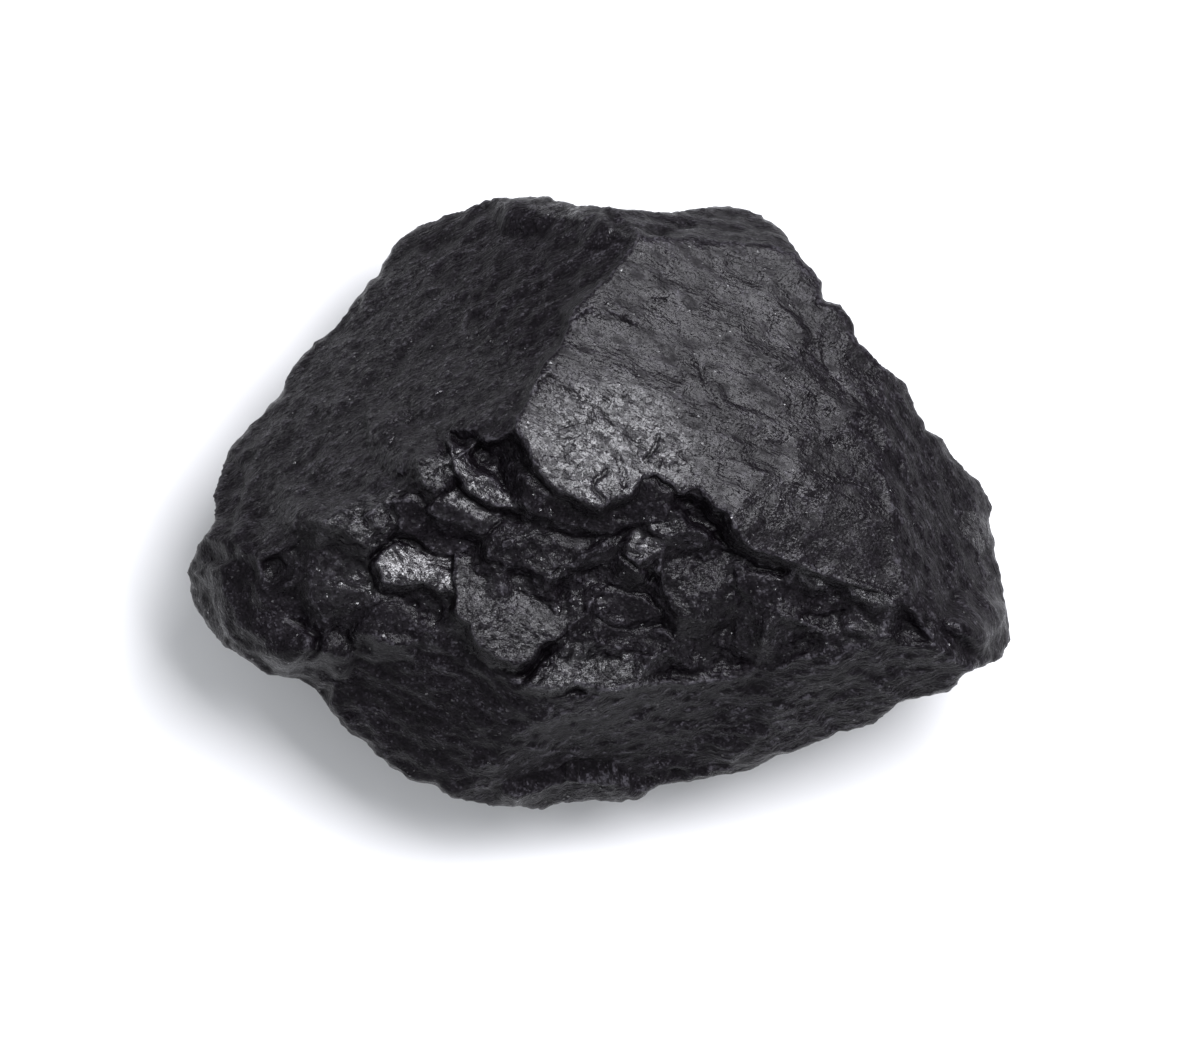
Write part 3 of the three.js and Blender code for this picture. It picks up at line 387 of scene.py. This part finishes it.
def fine_relief(p):
    """Relief too fine for the solid, in three parts. The smooth faces have bedding streaks, nicks, a
    little grit, shallow bowls drawn out along the beds, and flakes that step down in patches. The
    broken slope has small warped bowls, deeper where it is sugary, thin ledges and grit. The third
    part runs from 0 to 1 and lets the cracks come and go along their length."""
    across = p @ BEDDING
    in_bed = p - np.outer(across, BEDDING)
    grit = fractal(p, 1.0, 2, 62)
    nick = np.minimum(0, streaks(p, 1.0, 33) + 0.42)
    flake = step_down(across / 2.3 + 0.9 * fractal(p, 9, 3, 63), 5)
    flake = flake * smooth(2 * fractal(p, 6, 2, 64) + 0.2)
    dents = bowls(p - 0.6 * in_bed, 2.6, 800, 1.2)
    cleaved = 0.12 * streaks(p, 0.9, 21) + 0.8 * nick + 0.05 * grit + 0.9 * dents + 0.3 * flake
    ledge = step_down(across / 1.25 + 0.9 * fractal(p, 7, 2, 61), 4)
    sugary = smooth(fractal(p, 5, 2, 60) * 1.4 + 0.5)
    warped = p + 0.6 * np.stack([fractal(p, 2.6, 2, 300 + n) for n in range(3)], axis=1)
    chips = (0.6 + 0.5 * sugary) * bowls(warped - 0.4 * in_bed, 1.7, 500, 2.4, 2) + 0.6
    return cleaved, chips + 0.25 * ledge + 0.3 * grit, smooth(1.8 * fractal(p, 2.2, 2, 880) + 0.65)


def crown_height(x, y, bow, fracture, cleaved, chipped, cracked):
    """Height of the top over (x, y). It is the lowest face, and the broken slope's relief fades out
    where another face comes near. The hollows are taken off, the shards and the slab are put on where
    they stand higher, and the cracks are taken off last."""
    plane = {}
    for name, face in TOP_FACES.items():
        plane[name] = plane_height(face, x, y) + bow[name] + face[3] * cleaved * math.hypot(1, *face[1])
    bright = plane.pop("bright")
    broken = np.minimum(plane.pop("broken_left"), plane.pop("broken_right"))
    edges = np.minimum.reduce(list(plane.values()))
    share = smooth((np.minimum(edges, bright + 6) - broken) / 1.5 + 0.3)
    height = np.minimum(np.minimum(broken + (fracture + chipped) * share, edges), bright)
    for edge, depth, softness in HOLLOWS.values():
        m = near_edge(x, y, edge, softness)
        height[m] -= depth * smooth(inside_by(x[m], y[m], edge) / softness + 0.5)
    for s in SHARDS.values():
        m = near_edge(x, y, s["edge"], SHARD_REACH)
        (ax, ay), (sx, sy) = s["at"], s["slope"]
        inside = inside_by(x[m], y[m], s["edge"])
        flat = top_height(ax, ay) + s["lift"] + sx * (x[m] - ax) + sy * (y[m] - ay)
        broken_top = s.get("relief", 1) * (0.4 * fracture[m] + 0.5 * chipped[m])
        top = flat + s["hump"] * (smooth(inside / 2.5) - 0.6) + broken_top
        top = top - s.get("wall", SHARD_WALL) * np.maximum(0, -inside)
        height[m] = np.maximum(height[m], np.minimum(top, bright[m] + SHARD_COVER))
    bounds = [plane[name] for name in ("bright_fold", "right_end", "right_notch", "top_rim")]
    slab = np.minimum.reduce([bright, *bounds])
    height = np.maximum(height, slab - SLAB_WALL * np.maximum(0, -inside_by(x, y, SLAB)))
    for line, width, depth in CRACKS:
        m = near_edge(x, y, line, width)
        height[m] -= depth * cracked[m] * np.clip(1 - line_distance(x[m], y[m], line) / width, 0, 1)
    return height


# Big flat panels under the rim: compass angle each faces, how far it leans
# under, both in degrees, and the height where it starts.
SIDE_PANELS = [(8, 30, 24), (50, 38, 30), (92, 26, 26), (135, 40, 20), (172, 24, 20), (208, 42, 22),
               (250, 30, 20), (290, 46, 18), (330, 32, 16)]

# Shell-like scoops knocked out of the back and the ends: middle and radius.
SIDE_SCOOPS = [((-48, 40, -2), 31.5), ((60, 40, 2), 38), ((30, -66, -4), 40), ((-58, -46, -6), 38)]

RIM_DROP = 0.9          # the rim lies this far under the top's planes
RIM_BEVEL = 0.3         # the surface draws in by this much per mm above the rim
UNDERCUT = 0.36         # and by this much per mm below it
RIM_DEPTH = 5.0         # the sides have their full relief this far from the rim
RIM_SPARE = 0.3         # the sides stand out by this much, for the top to cut off


def meet(distance, facing):
    """Distance along a ray to a plane this far from the heart, where the ray goes towards it."""
    return np.where(facing > 1e-3, distance / np.maximum(facing, 1e-3), FAR)


def side_reach(rays):
    """Distance along each ray to the sides and to the flat base, and the rim's height there. The
    sides are the nearest of the outline drawn in above and below the rim, the panels and the scoops,
    and the base ends them. The outline's distance is where the ray, seen from above, crosses it."""
    angle = np.arctan2(rays[:, 1], rays[:, 0])
    points = OUTLINE[np.argsort(np.arctan2(OUTLINE[:, 1], OUTLINE[:, 0]))]
    n = np.searchsorted(np.arctan2(points[:, 1], points[:, 0]), angle) % len(points)
    a, b = points[n - 1], points[n]
    e = b - a
    turn = np.cos(angle) * e[:, 1] - np.sin(angle) * e[:, 0]
    reach = (a[:, 0] * e[:, 1] - a[:, 1] * e[:, 0]) / turn
    across = np.hypot(rays[:, 0], rays[:, 1])
    rim = top_height(reach * np.cos(angle), reach * np.sin(angle)) - RIM_DROP - HEART[2]
    side = np.minimum(meet(reach + RIM_BEVEL * rim, across + RIM_BEVEL * rays[:, 2]),
                      meet(reach - UNDERCUT * rim, across - UNDERCUT * rays[:, 2]))
    for faces, lean, start in SIDE_PANELS:
        level = np.array([math.cos(math.radians(faces)), math.sin(math.radians(faces))])
        cos_lean, sin_lean = math.cos(math.radians(lean)), math.sin(math.radians(lean))
        distance = cos_lean * (OUTLINE @ level).max() - sin_lean * (start - HEART[2])
        side = np.minimum(side, meet(distance, rays @ np.array([*(level * cos_lean), -sin_lean])))
    for middle, radius in SIDE_SCOOPS:
        to_middle = np.array(middle) - HEART
        along = rays @ to_middle
        square = along ** 2 - to_middle @ to_middle + radius ** 2
        entry = along - np.sqrt(np.maximum(square, 0))
        side = np.where((square > 0) & (along > 0), np.minimum(side, entry), side)
    base = meet(HEART[2], -rays[:, 2])
    return np.minimum(side, base), base, rim + HEART[2]


def side_relief(p):
    """Relief of the sides, as (large, fine). The large part is slow swells, beds that stand out in
    steps, and bowls. The fine part is small bowls, upright creases, grit and streaks."""
    bed = (p @ BEDDING + 1.6 * fractal(p, 16, 3, 70)) / 3.4
    step = np.floor(bed) + np.clip((bed - np.floor(bed) - 0.5) * 6 + 0.5, 0, 1) - bed
    warped = p + 0.8 * fractal(p, 5, 2, 5)[:, None]
    large = 0.9 * fractal(p, 11, 3, 90) + 0.55 * step + 3 * bowls(warped, 7, 200)
    upright = p * (1, 1, 0.35)
    chips = 0.4 * bowls(warped, 2.0, 700) + 0.5 * bowls(upright, 5, 760)
    chips -= 0.7 * np.abs(fractal(upright, 3.5, 3, 780)) - 0.1
    return large, chips + 0.3 * fractal(p, 1.6, 3, 720) + 0.12 * streaks(p, 1.3, 21)


HALVINGS = 14                       # rounds of halving that find a ray's crossing
SEARCH_IN, SEARCH_OUT = 10, 3       # how far inside and outside the bare top it can lie
TOP_SPARE = 1.35                    # a ray may meet the top up to this times the side's distance


def lump_surface(rays):
    """Where each ray leaves the lump. The sides are worked out. Well inside the rim, a ray's point on
    the bare top is moved straight up or down to the height of the real one. Near the rim the crossing
    is found along the ray, by halving, and in between the two points are blended. The top's edges
    are made ragged: they are looked up at points moved sideways by a small broken noise."""
    side, base, rim = side_reach(rays)
    at_side = HEART + rays * side[:, None]
    above_base = 1 - np.clip((side - base) / 2 + 1, 0, 1)
    below_rim = smooth(np.abs(rim - at_side[:, 2]) / RIM_DEPTH)
    large, fine = side_relief(at_side)
    reach = np.minimum(base, side + ((large - 0.35) * below_rim + RIM_SPARE + fine) * above_base)
    top = np.full(len(rays), FAR)
    for (px, py, pz), (sx, sy), *_ in TOP_FACES.values():
        facing = rays[:, 2] - sx * rays[:, 0] - sy * rays[:, 1]
        top = np.minimum(top, meet(pz - HEART[2] - sx * px - sy * py, facing))
    m = top < side * TOP_SPARE
    start = np.minimum(top, side)[m]
    p = HEART + rays[m] * start[:, None]
    relief = (*slow_relief(p), *fine_relief(p))
    ragged_x = 0.5 * fractal(p, 2.4, 3, 3) + 0.5 * bowls(p, 1.5, 820)
    ragged_y = 0.5 * fractal(p, 2.4, 3, 11) + 0.5 * bowls(p, 1.5, 840)
    upright = p.copy()
    upright[:, 2] = crown_height(p[:, 0] + ragged_x, p[:, 1] + ragged_y, *relief)
    inner, outer = start - SEARCH_IN, start + SEARCH_OUT
    for _ in range(HALVINGS):
        middle = (inner + outer) / 2
        p = HEART + rays[m] * middle[:, None]
        out = p[:, 2] > crown_height(p[:, 0] + ragged_x, p[:, 1] + ragged_y, *relief)
        inner, outer = np.where(out, inner, middle), np.where(out, middle, outer)
    reach[m] = np.minimum(reach[m], inner)
    points = HEART + rays * reach[:, None]
    inside = smooth(((side - top)[m] - 1) / 4)[:, None]
    points[m] = inside * upright + (1 - inside) * points[m]
    return points


def cube_rays(counts, stretch):
    """Rays through the grids on a stretched cube's six sides, and the squares that join them. counts
    are the squares along x, y and z. Each grid is a function of two angles; the rays that two grids
    share along an edge are merged."""
    points, squares, start = [], [], 0
    for axis in range(3):
        after, last = (axis + 1) % 3, (axis + 2) % 3
        t = [np.tan(np.linspace(-1, 1, counts[n] + 1) * math.pi / 4) for n in (after, last)]
        u, v = np.meshgrid(*t, indexing="ij")
        n = np.arange(u.size).reshape(u.shape)
        square = np.stack([n[:-1, :-1], n[1:, :-1], n[1:, 1:], n[:-1, 1:]], -1).reshape(-1, 4)
        for side in (1, -1):
            grid = np.empty((u.size, 3))
            grid[:, axis], grid[:, after], grid[:, last] = side, u.ravel(), v.ravel()
            points.append(grid)
            squares.append(start + square[:, ::side])
            start += u.size
    points = np.concatenate(points)
    _, first, same = np.unique(np.round(points * 1e6), axis=0, return_index=True, return_inverse=True)
    rays = points[first] * stretch
    return rays / np.linalg.norm(rays, axis=1, keepdims=True), same.reshape(-1)[np.concatenate(squares)]


def fit_in_box(p, box, spare):
    """The points moved and scaled so that they fill a box, less a spare share of its size."""
    low, high = np.array(box[0]), np.array(box[1])
    size = p.max(0) - p.min(0)
    middle = (p.max(0) + p.min(0)) / 2
    scaled = (p - middle) * (high - low) * (1 - spare) / size
    return scaled + (low + high) / 2


GRID = (290, 240, 90)           # squares along x, y and z
CUBE = (1, 0.8, 0.5)            # the cube's stretch, near the lump's own proportions
BOX_SPARE = 0.002               # the visual is this share smaller than the solid's box
rays, squares = cube_rays(GRID, CUBE)
form = lump_surface(rays)
lump_mesh = bpy.data.meshes.new("coal_lump_skin")
lump_mesh.from_pydata(fit_in_box(form, cad_box, BOX_SPARE), [], squares)
lump = bpy.data.objects.new("coal_lump_skin", lump_mesh)
bpy.context.scene.collection.objects.link(lump)
lump_mesh.shade_smooth()


SIDE_STREAKS = 0.6              # how streaked the sides are


def marks_of(form):
    """How glassy, sugary and streaked the surface is at each point, from 0 to about 1. On the top,
    what lies outside the slab and above the lower and end faces is a little glassy and sugary. The
    slab is more so near its tip, and each shard is as much as its own values say. Streaks are as
    strong as on the face that the point lies on. All of this fades out from 4 to 6 mm under the top's
    planes, where the sides begin."""
    x, y, z = form.T
    heights = {name: plane_height(face, x, y) for name, face in TOP_FACES.items()}
    all_heights = np.stack(list(heights.values()))
    on_top = smooth((z - all_heights.min(0) + 6) / 2)
    streaked = np.array([face[4] for face in TOP_FACES.values()])[all_heights.argmin(0)]
    streaked = SIDE_STREAKS + (streaked - SIDE_STREAKS) * on_top
    on_slab = smooth(0.5 + inside_by(x, y, SLAB))
    upper = [heights.pop(name) for name in ("bright", "dark", "broken_left", "broken_right")]
    lower = np.minimum.reduce(list(heights.values()))
    slope = smooth((lower - np.minimum(*upper[2:])) / 1.5 + 0.3) * (1 - on_slab) * on_top
    on_slab = on_slab * on_top
    tip = smooth(1.4 - np.hypot(x - 1, y - 4) / 12) * on_slab
    sheen = smooth(1.4 - np.hypot(x - 2, y - 12) / 34) * on_slab
    gloss, grain = 0.55 * slope + 0.5 * tip + 0.3 * sheen, 0.45 * slope + 0.3 * tip
    for s in SHARDS.values():
        m = near_edge(x, y, s["edge"], 1)
        on = smooth(inside_by(x[m], y[m], s["edge"]) + 0.5) * on_top[m]
        gloss[m] += (s["gloss"] - gloss[m]) * on
        grain[m] += (s["grain"] - grain[m]) * on
    return {"gloss": gloss, "grain": grain, "streaked": streaked}


def sharpness(mesh, rounds):
    """How far each point stands out of the points around it, as a share of their distance: above 0
    on edges, below 0 in cracks. It is the distance from the neighbours' middle along the normal, over
    the mean length of the edges, and is averaged with its neighbours once for each round."""
    ends = np.empty(2 * len(mesh.edges), np.int32)
    mesh.edges.foreach_get("vertices", ends)
    points, normals = (np.empty(3 * len(mesh.vertices), np.float32) for _ in range(2))
    mesh.vertices.foreach_get("co", points)
    mesh.vertex_normals.foreach_get("vector", normals)
    points, normals, (a, b) = points.reshape(-1, 3), normals.reshape(-1, 3), ends.reshape(-1, 2).T
    count = np.bincount(np.concatenate([a, b]), minlength=len(points))

    def neighbours(values):
        return (np.bincount(a, values[b], len(points)) + np.bincount(b, values[a], len(points))) / count

    long = np.linalg.norm(points[a] - points[b], axis=1)
    length = (np.bincount(a, long, len(points)) + np.bincount(b, long, len(points))) / count
    around = np.stack([neighbours(points[:, n]) for n in range(3)], axis=1)
    out = ((points - around) * normals).sum(1) / length
    for _ in range(rounds):
        out = 0.5 * out + 0.5 * neighbours(out)
    return out


marks = marks_of(form)
# The edge value lightens the colour where the surface stands out, a painted highlight, and darkens it in
# cracks, a painted shade.
marks["edge"] = sharpness(lump_mesh, 1)
for name, values in marks.items():
    layer = lump_mesh.attributes.new(name, "FLOAT", "POINT")
    layer.data.foreach_set("value", values.astype(np.float32))

# The flat base and the smooth faces need few triangles; the rest keeps what they save.
TRIANGLES = 196000
thin_out = lump.modifiers.new("fewer triangles", "DECIMATE")
thin_out.ratio = TRIANGLES / (2 * len(squares))
with bpy.context.temp_override(object=lump, active_object=lump, selected_objects=[lump]):
    bpy.ops.object.modifier_apply(modifier=thin_out.name)


def add_node(tree, kind, *links, **values):
    """A new node with its sockets set. links are (input, source socket) pairs; a value's name is an
    input's name, or else a property of the node."""
    node = tree.nodes.new(kind)
    for name, value in values.items():
        socket = node.inputs.get(name.replace("_", " "))
        if socket is None:
            setattr(node, name, value)
        else:
            socket.default_value = value
    for name, source in links:
        tree.links.new(source, node.inputs[name])
    return node


def new_group(name, inputs, outputs):
    """An empty node group with these sockets. Returns the group, its input and its output node."""
    group = bpy.data.node_groups.new(name, "ShaderNodeTree")
    for label, kind in inputs:
        group.interface.new_socket(label, in_out="INPUT", socket_type=kind)
    for label, kind in outputs:
        group.interface.new_socket(label, in_out="OUTPUT", socket_type=kind)
    return group, group.nodes.new("NodeGroupInput"), group.nodes.new("NodeGroupOutput")


BED_WAVE = 0.0015               # how far the beds wave, in metres


def bedding_group():
    """The point drawn together within the beds, so that what reads it comes out Length times as long
    as it is thick: the part across the beds stays, the rest is divided by Length. A slow noise waves
    the beds a little."""
    group, given, result = new_group(
        "along the beds", [("Point", "NodeSocketVector"), ("Length", "NodeSocketFloat")],
        [("Point", "NodeSocketVector")])
    across = add_node(group, "ShaderNodeVectorMath", (0, given.outputs["Point"]), operation="DOT_PRODUCT")
    across.inputs[1].default_value = BEDDING
    wave = add_node(group, "ShaderNodeTexNoise", ("Vector", given.outputs["Point"]), Scale=120, Detail=2)
    lifted = add_node(group, "ShaderNodeMath", (0, wave.outputs["Fac"]), (2, across.outputs["Value"]),
                      operation="MULTIPLY_ADD")
    lifted.inputs[1].default_value = BED_WAVE
    part = add_node(group, "ShaderNodeMath", (1, given.outputs["Length"]), operation="DIVIDE")
    part.inputs[0].default_value = 1
    rest = add_node(group, "ShaderNodeMath", (1, part.outputs[0]), operation="SUBTRACT")
    rest.inputs[0].default_value = 1
    kept = add_node(group, "ShaderNodeMath", (0, lifted.outputs[0]), (1, rest.outputs[0]),
                    operation="MULTIPLY")
    square = add_node(group, "ShaderNodeVectorMath", ("Scale", kept.outputs[0]), operation="SCALE")
    square.inputs[0].default_value = BEDDING
    drawn = add_node(group, "ShaderNodeVectorMath", (0, given.outputs["Point"]), ("Scale", part.outputs[0]),
                     operation="SCALE")
    both = add_node(group, "ShaderNodeVectorMath", (0, square.outputs[0]), (1, drawn.outputs[0]),
                    operation="ADD")
    group.links.new(both.outputs[0], result.inputs["Point"])
    return group


def facet_group():
    """Tiny flat facets: each cell of space tips the normal its own way, by Tilt, and has two steady
    random numbers of its own, Chance and Shade."""
    group, given, result = new_group(
        "broken facets",
        [("Point", "NodeSocketVector"), ("Fineness", "NodeSocketFloat"), ("Tilt", "NodeSocketFloat"),
         ("Normal", "NodeSocketVector")],
        [("Normal", "NodeSocketVector"), ("Chance", "NodeSocketFloat"), ("Shade", "NodeSocketFloat")])
    cells = add_node(group, "ShaderNodeTexVoronoi", ("Vector", given.outputs["Point"]),
                     ("Scale", given.outputs["Fineness"]), feature="F1")
    centred = add_node(group, "ShaderNodeVectorMath", (0, cells.outputs["Color"]), operation="SUBTRACT")
    centred.inputs[1].default_value = (0.5, 0.5, 0.5)
    tipped = add_node(group, "ShaderNodeVectorMath", (0, centred.outputs[0]),
                      ("Scale", given.outputs["Tilt"]), operation="SCALE")
    added = add_node(group, "ShaderNodeVectorMath", (0, given.outputs["Normal"]), (1, tipped.outputs[0]),
                     operation="ADD")
    unit = add_node(group, "ShaderNodeVectorMath", (0, added.outputs[0]), operation="NORMALIZE")
    split = add_node(group, "ShaderNodeSeparateXYZ", ("Vector", cells.outputs["Color"]))
    group.links.new(unit.outputs[0], result.inputs["Normal"])
    group.links.new(split.outputs["X"], result.inputs["Chance"])
    group.links.new(split.outputs["Y"], result.inputs["Shade"])
    return group


def coal_material():
    """Hard coal: nearly black, with satin cleavage faces and glassy breaks. The mesh's own values say where
    it is glossy, sugary and streaked, and how far it stands out on edges or sinks into cracks, which lightens
    the colour as a painted highlight and darkens it as a painted shade. Noise drawn out along the beds does
    the rest."""
    material = bpy.data.materials.new("coal")
    material.use_nodes = True
    tree = material.node_tree
    shader = tree.nodes["Principled BSDF"]
    point = add_node(tree, "ShaderNodeTexCoord").outputs["Object"]
    gloss, grain, streaked, edge = (add_node(tree, "ShaderNodeAttribute", attribute_name=name).outputs["Fac"]
                                    for name in ("gloss", "grain", "streaked", "edge"))

    def along_beds(length):
        """The point, for a noise that comes out this many times as long as it is thick."""
        node = add_node(tree, "ShaderNodeGroup", node_tree=bedding)
        tree.links.new(point, node.inputs["Point"])
        node.inputs["Length"].default_value = length
        return node.outputs["Point"]

    def noise(vector, scale, detail):
        """Cloudy noise from 0 to 1, with scale cells per metre."""
        return add_node(tree, "ShaderNodeTexNoise", ("Vector", vector), Scale=scale, Detail=detail,
                        Roughness=0.6).outputs["Fac"]

    def spread(source, low, high, out_low, out_high):
        """A value taken evenly from the range low to high to another range, and held at its ends."""
        node = add_node(tree, "ShaderNodeMapRange", ("Value", source), From_Min=low, From_Max=high,
                        To_Min=out_low, To_Max=out_high)
        return node.outputs["Result"]

    def combine(operation, a, b):
        """Two values or numbers joined by one operation of the math node."""
        node = add_node(tree, "ShaderNodeMath", operation=operation)
        for socket, value in zip(node.inputs, (a, b)):
            if isinstance(value, (int, float)):
                socket.default_value = value
            else:
                tree.links.new(value, socket)
        return node.outputs[0]

    bedding = bedding_group()
    wide, thin = noise(along_beds(7), 900, 3), noise(along_beds(9), 4200, 3)
    laths, pits = noise(along_beds(5), 2300, 3), noise(along_beds(3), 1500, 2)
    mottle, grit = noise(along_beds(2.5), 420, 4), noise(point, 2800, 1)
    crumbs = noise(along_beds(2), 1500, 4)
    facet = add_node(tree, "ShaderNodeGroup", ("Point", along_beds(1.7)), node_tree=facet_group(),
                     Fineness=6500)

    # colour: brownish black, greyer in patches and single grains, lighter in streaks along the beds (partly
    # the coal's own banding, partly painted highlight for thin ridges catching the lamp), lighter on edges
    # that stand out as a painted highlight, and darker in cracks as a painted shade
    tone = combine("ADD", combine("MULTIPLY", wide, 0.35), combine("MULTIPLY", mottle, 0.35))
    tone = combine("ADD", tone, combine("MULTIPLY", facet.outputs["Shade"], 0.26))
    tone = combine("ADD", tone, spread(facet.outputs["Shade"], 0.86, 1.0, 0, 0.1))
    # the lighter streaks along the beds are partly the coal's own banding and partly painted highlight,
    # standing in for thin ridges that catch the lamp
    banding_and_painted_highlight = combine("ADD", spread(thin, 0.46, 0.8, 0, 0.42), spread(laths, 0.5, 0.82, 0, 0.36))
    banding_and_painted_highlight = combine("MULTIPLY", banding_and_painted_highlight, spread(crumbs, 0.36, 0.62, 0.15, 1))
    tone = combine("ADD", tone, combine("MULTIPLY", banding_and_painted_highlight, streaked))
    tone = combine("ADD", tone, spread(crumbs, 0.3, 0.7, -0.14, 0.12))
    # painted highlight on edges that stand out, painted shade in cracks
    tone = combine("ADD", tone, combine("MULTIPLY", edge, 0.9))
    ramp = add_node(tree, "ShaderNodeValToRGB", ("Fac", tone))
    ramp.color_ramp.elements[0].position = 0.36
    ramp.color_ramp.elements[0].color = (0.0016, 0.0011, 0.0017, 1)
    ramp.color_ramp.elements[1].position = 0.64
    ramp.color_ramp.elements[1].color = (0.0064, 0.0053, 0.0068, 1)
    # the light end of the colour, reached in the streaks and on standing edges, where it is partly painted
    # highlight
    ramp.color_ramp.elements.new(0.95).color = (0.0400, 0.0375, 0.0435, 1)
    tree.links.new(ramp.outputs["Color"], shader.inputs["Base Color"])

    # roughness: satin on the cleavage faces in dull and bright patches, glassy on the breaks
    satin = combine("ADD", spread(mottle, 0.38, 0.62, 0.35, 0.23), spread(pits, 0.34, 0.5, 0.2, 0))
    rough = combine("SUBTRACT", satin, combine("MULTIPLY", gloss, 0.13))
    tree.links.new(rough, shader.inputs["Roughness"])
    shader.inputs["Specular IOR Level"].default_value = 0.085

    # relief: streaks, grit, dents where it is glossy, and crumbs and facets where the break is sugary
    lines = combine("ADD", combine("MULTIPLY", thin, 0.7), combine("MULTIPLY", laths, 1.2))
    height = combine("MULTIPLY", lines, combine("ADD", combine("MULTIPLY", streaked, 3.2), 0.1))
    height = combine("ADD", height, combine("MULTIPLY", grit, 1.0))
    dents = combine("MULTIPLY", mottle, combine("ADD", combine("MULTIPLY", gloss, 3.0), 0.4))
    height = combine("ADD", height, dents)
    height = combine("ADD", height, combine("MULTIPLY", crumbs, combine("MULTIPLY", grain, 14.0)))
    bump = add_node(tree, "ShaderNodeBump", ("Height", height), Strength=1, Distance=0.00006)
    tree.links.new(combine("ADD", combine("MULTIPLY", grain, 0.16), 0.13), facet.inputs["Tilt"])
    tree.links.new(bump.outputs["Normal"], facet.inputs["Normal"])
    tree.links.new(facet.outputs["Normal"], shader.inputs["Normal"])

    # a clean glassy skin on larger facets: where it is glossiest, and on single grains
    sheet = add_node(tree, "ShaderNodeGroup", ("Point", along_beds(1.7)), ("Normal", bump.outputs["Normal"]),
                     node_tree=facet.node_tree, Fineness=2300)
    patchy = spread(sheet.outputs["Shade"], 0.2, 0.8, 0.15, 1)
    skin = combine("MULTIPLY", patchy, spread(gloss, 0.45, 1.0, 0, 1))
    chance = combine("ADD", facet.outputs["Chance"], combine("MULTIPLY", grain, 0.05))
    glint = spread(chance, 0.985, 1.0, 0, 0.8)
    tree.links.new(combine("ADD", combine("MULTIPLY", glint, 1.2), 0.22), sheet.inputs["Tilt"])
    tree.links.new(combine("MAXIMUM", skin, glint), shader.inputs["Coat Weight"])
    tree.links.new(sheet.outputs["Normal"], shader.inputs["Coat Normal"])
    shader.inputs["Coat Roughness"].default_value = 0.2
    return material


lump_mesh.materials.append(coal_material())
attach(lump, "root")
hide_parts("coal_lump")


# ---------------------------------------------------------------------------
# The table, lights and camera. A pale matt table under one large soft lamp from
# the upper right, with daylight all round, and the camera straight above.
# ---------------------------------------------------------------------------

FLOOR_SIZE = 3.0
half = FLOOR_SIZE / 2
floor_corners = [(-half, -half, 0), (half, -half, 0), (half, half, 0), (-half, half, 0)]
floor_mesh = bpy.data.meshes.new("floor")
floor_mesh.from_pydata(floor_corners, [], [(0, 1, 2, 3)])
floor = bpy.data.objects.new("floor", floor_mesh)
bpy.context.scene.collection.objects.link(floor)
floor_material = bpy.data.materials.new("pale table")
floor_material.use_nodes = True
floor_shader = floor_material.node_tree.nodes["Principled BSDF"]
floor_shader.inputs["Base Color"].default_value = (0.62, 0.62, 0.62, 1)
floor_shader.inputs["Roughness"].default_value = 0.9
floor_mesh.materials.append(floor_material)


def add_lamp(name, compass, height, distance, size, watts, colour):
    """A soft lamp that faces the lump from this distance, at these angles round from +x and up from
    the table, in degrees."""
    lamp = bpy.data.lights.new(name, "AREA")
    lamp.shape = "RECTANGLE"
    lamp.size, lamp.size_y = size
    lamp.energy = watts
    lamp.color = colour
    holder = bpy.data.objects.new(name, lamp)
    bpy.context.scene.collection.objects.link(holder)
    turn, rise = math.radians(compass), math.radians(height)
    towards = Vector((math.cos(turn) * math.cos(rise), math.sin(turn) * math.cos(rise), math.sin(rise)))
    middle = Vector((0, 0, 0.02))
    holder.location = middle + towards * distance
    holder.rotation_euler = (-towards).to_track_quat("-Z", "Y").to_euler()


add_lamp("key lamp", 45, 64, 0.8, (0.38, 0.38), 13.4, (0.95, 0.95, 1.0))

# Daylight is weak at the horizon and below it, and stronger the higher it comes from.
daylight = bpy.data.worlds.new("daylight")
bpy.context.scene.world = daylight
daylight.use_nodes = True
sky = daylight.node_tree
direction = add_node(sky, "ShaderNodeTexCoord").outputs["Generated"]
rise = add_node(sky, "ShaderNodeSeparateXYZ", ("Vector", direction)).outputs["Z"]
glow = add_node(sky, "ShaderNodeMapRange", ("Value", rise), From_Min=0, From_Max=0.9, To_Min=0.08, To_Max=1.2)
sky.links.new(glow.outputs["Result"], sky.nodes["Background"].inputs["Strength"])
sky.nodes["Background"].inputs["Color"].default_value = (0.93, 0.955, 1.0, 1)

FRAME_WIDTH = 0.1458            # what the picture spans at the lump's middle height
CAMERA_HEIGHT = 1.2
CAMERA_SHIFT = (0.0002, -0.0022)    # the picture's middle lies this far from the lump's
SENSOR_WIDTH = 36
camera_data = bpy.data.cameras.new("camera")
camera = bpy.data.objects.new("camera", camera_data)
bpy.context.scene.collection.objects.link(camera)
bpy.context.scene.camera = camera
camera_data.sensor_width = SENSOR_WIDTH
camera_data.lens = SENSOR_WIDTH * (CAMERA_HEIGHT - HEART[2] * 0.001) / FRAME_WIDTH
camera.location = (*CAMERA_SHIFT, CAMERA_HEIGHT)

bpy.context.scene.view_settings.view_transform = "Standard"
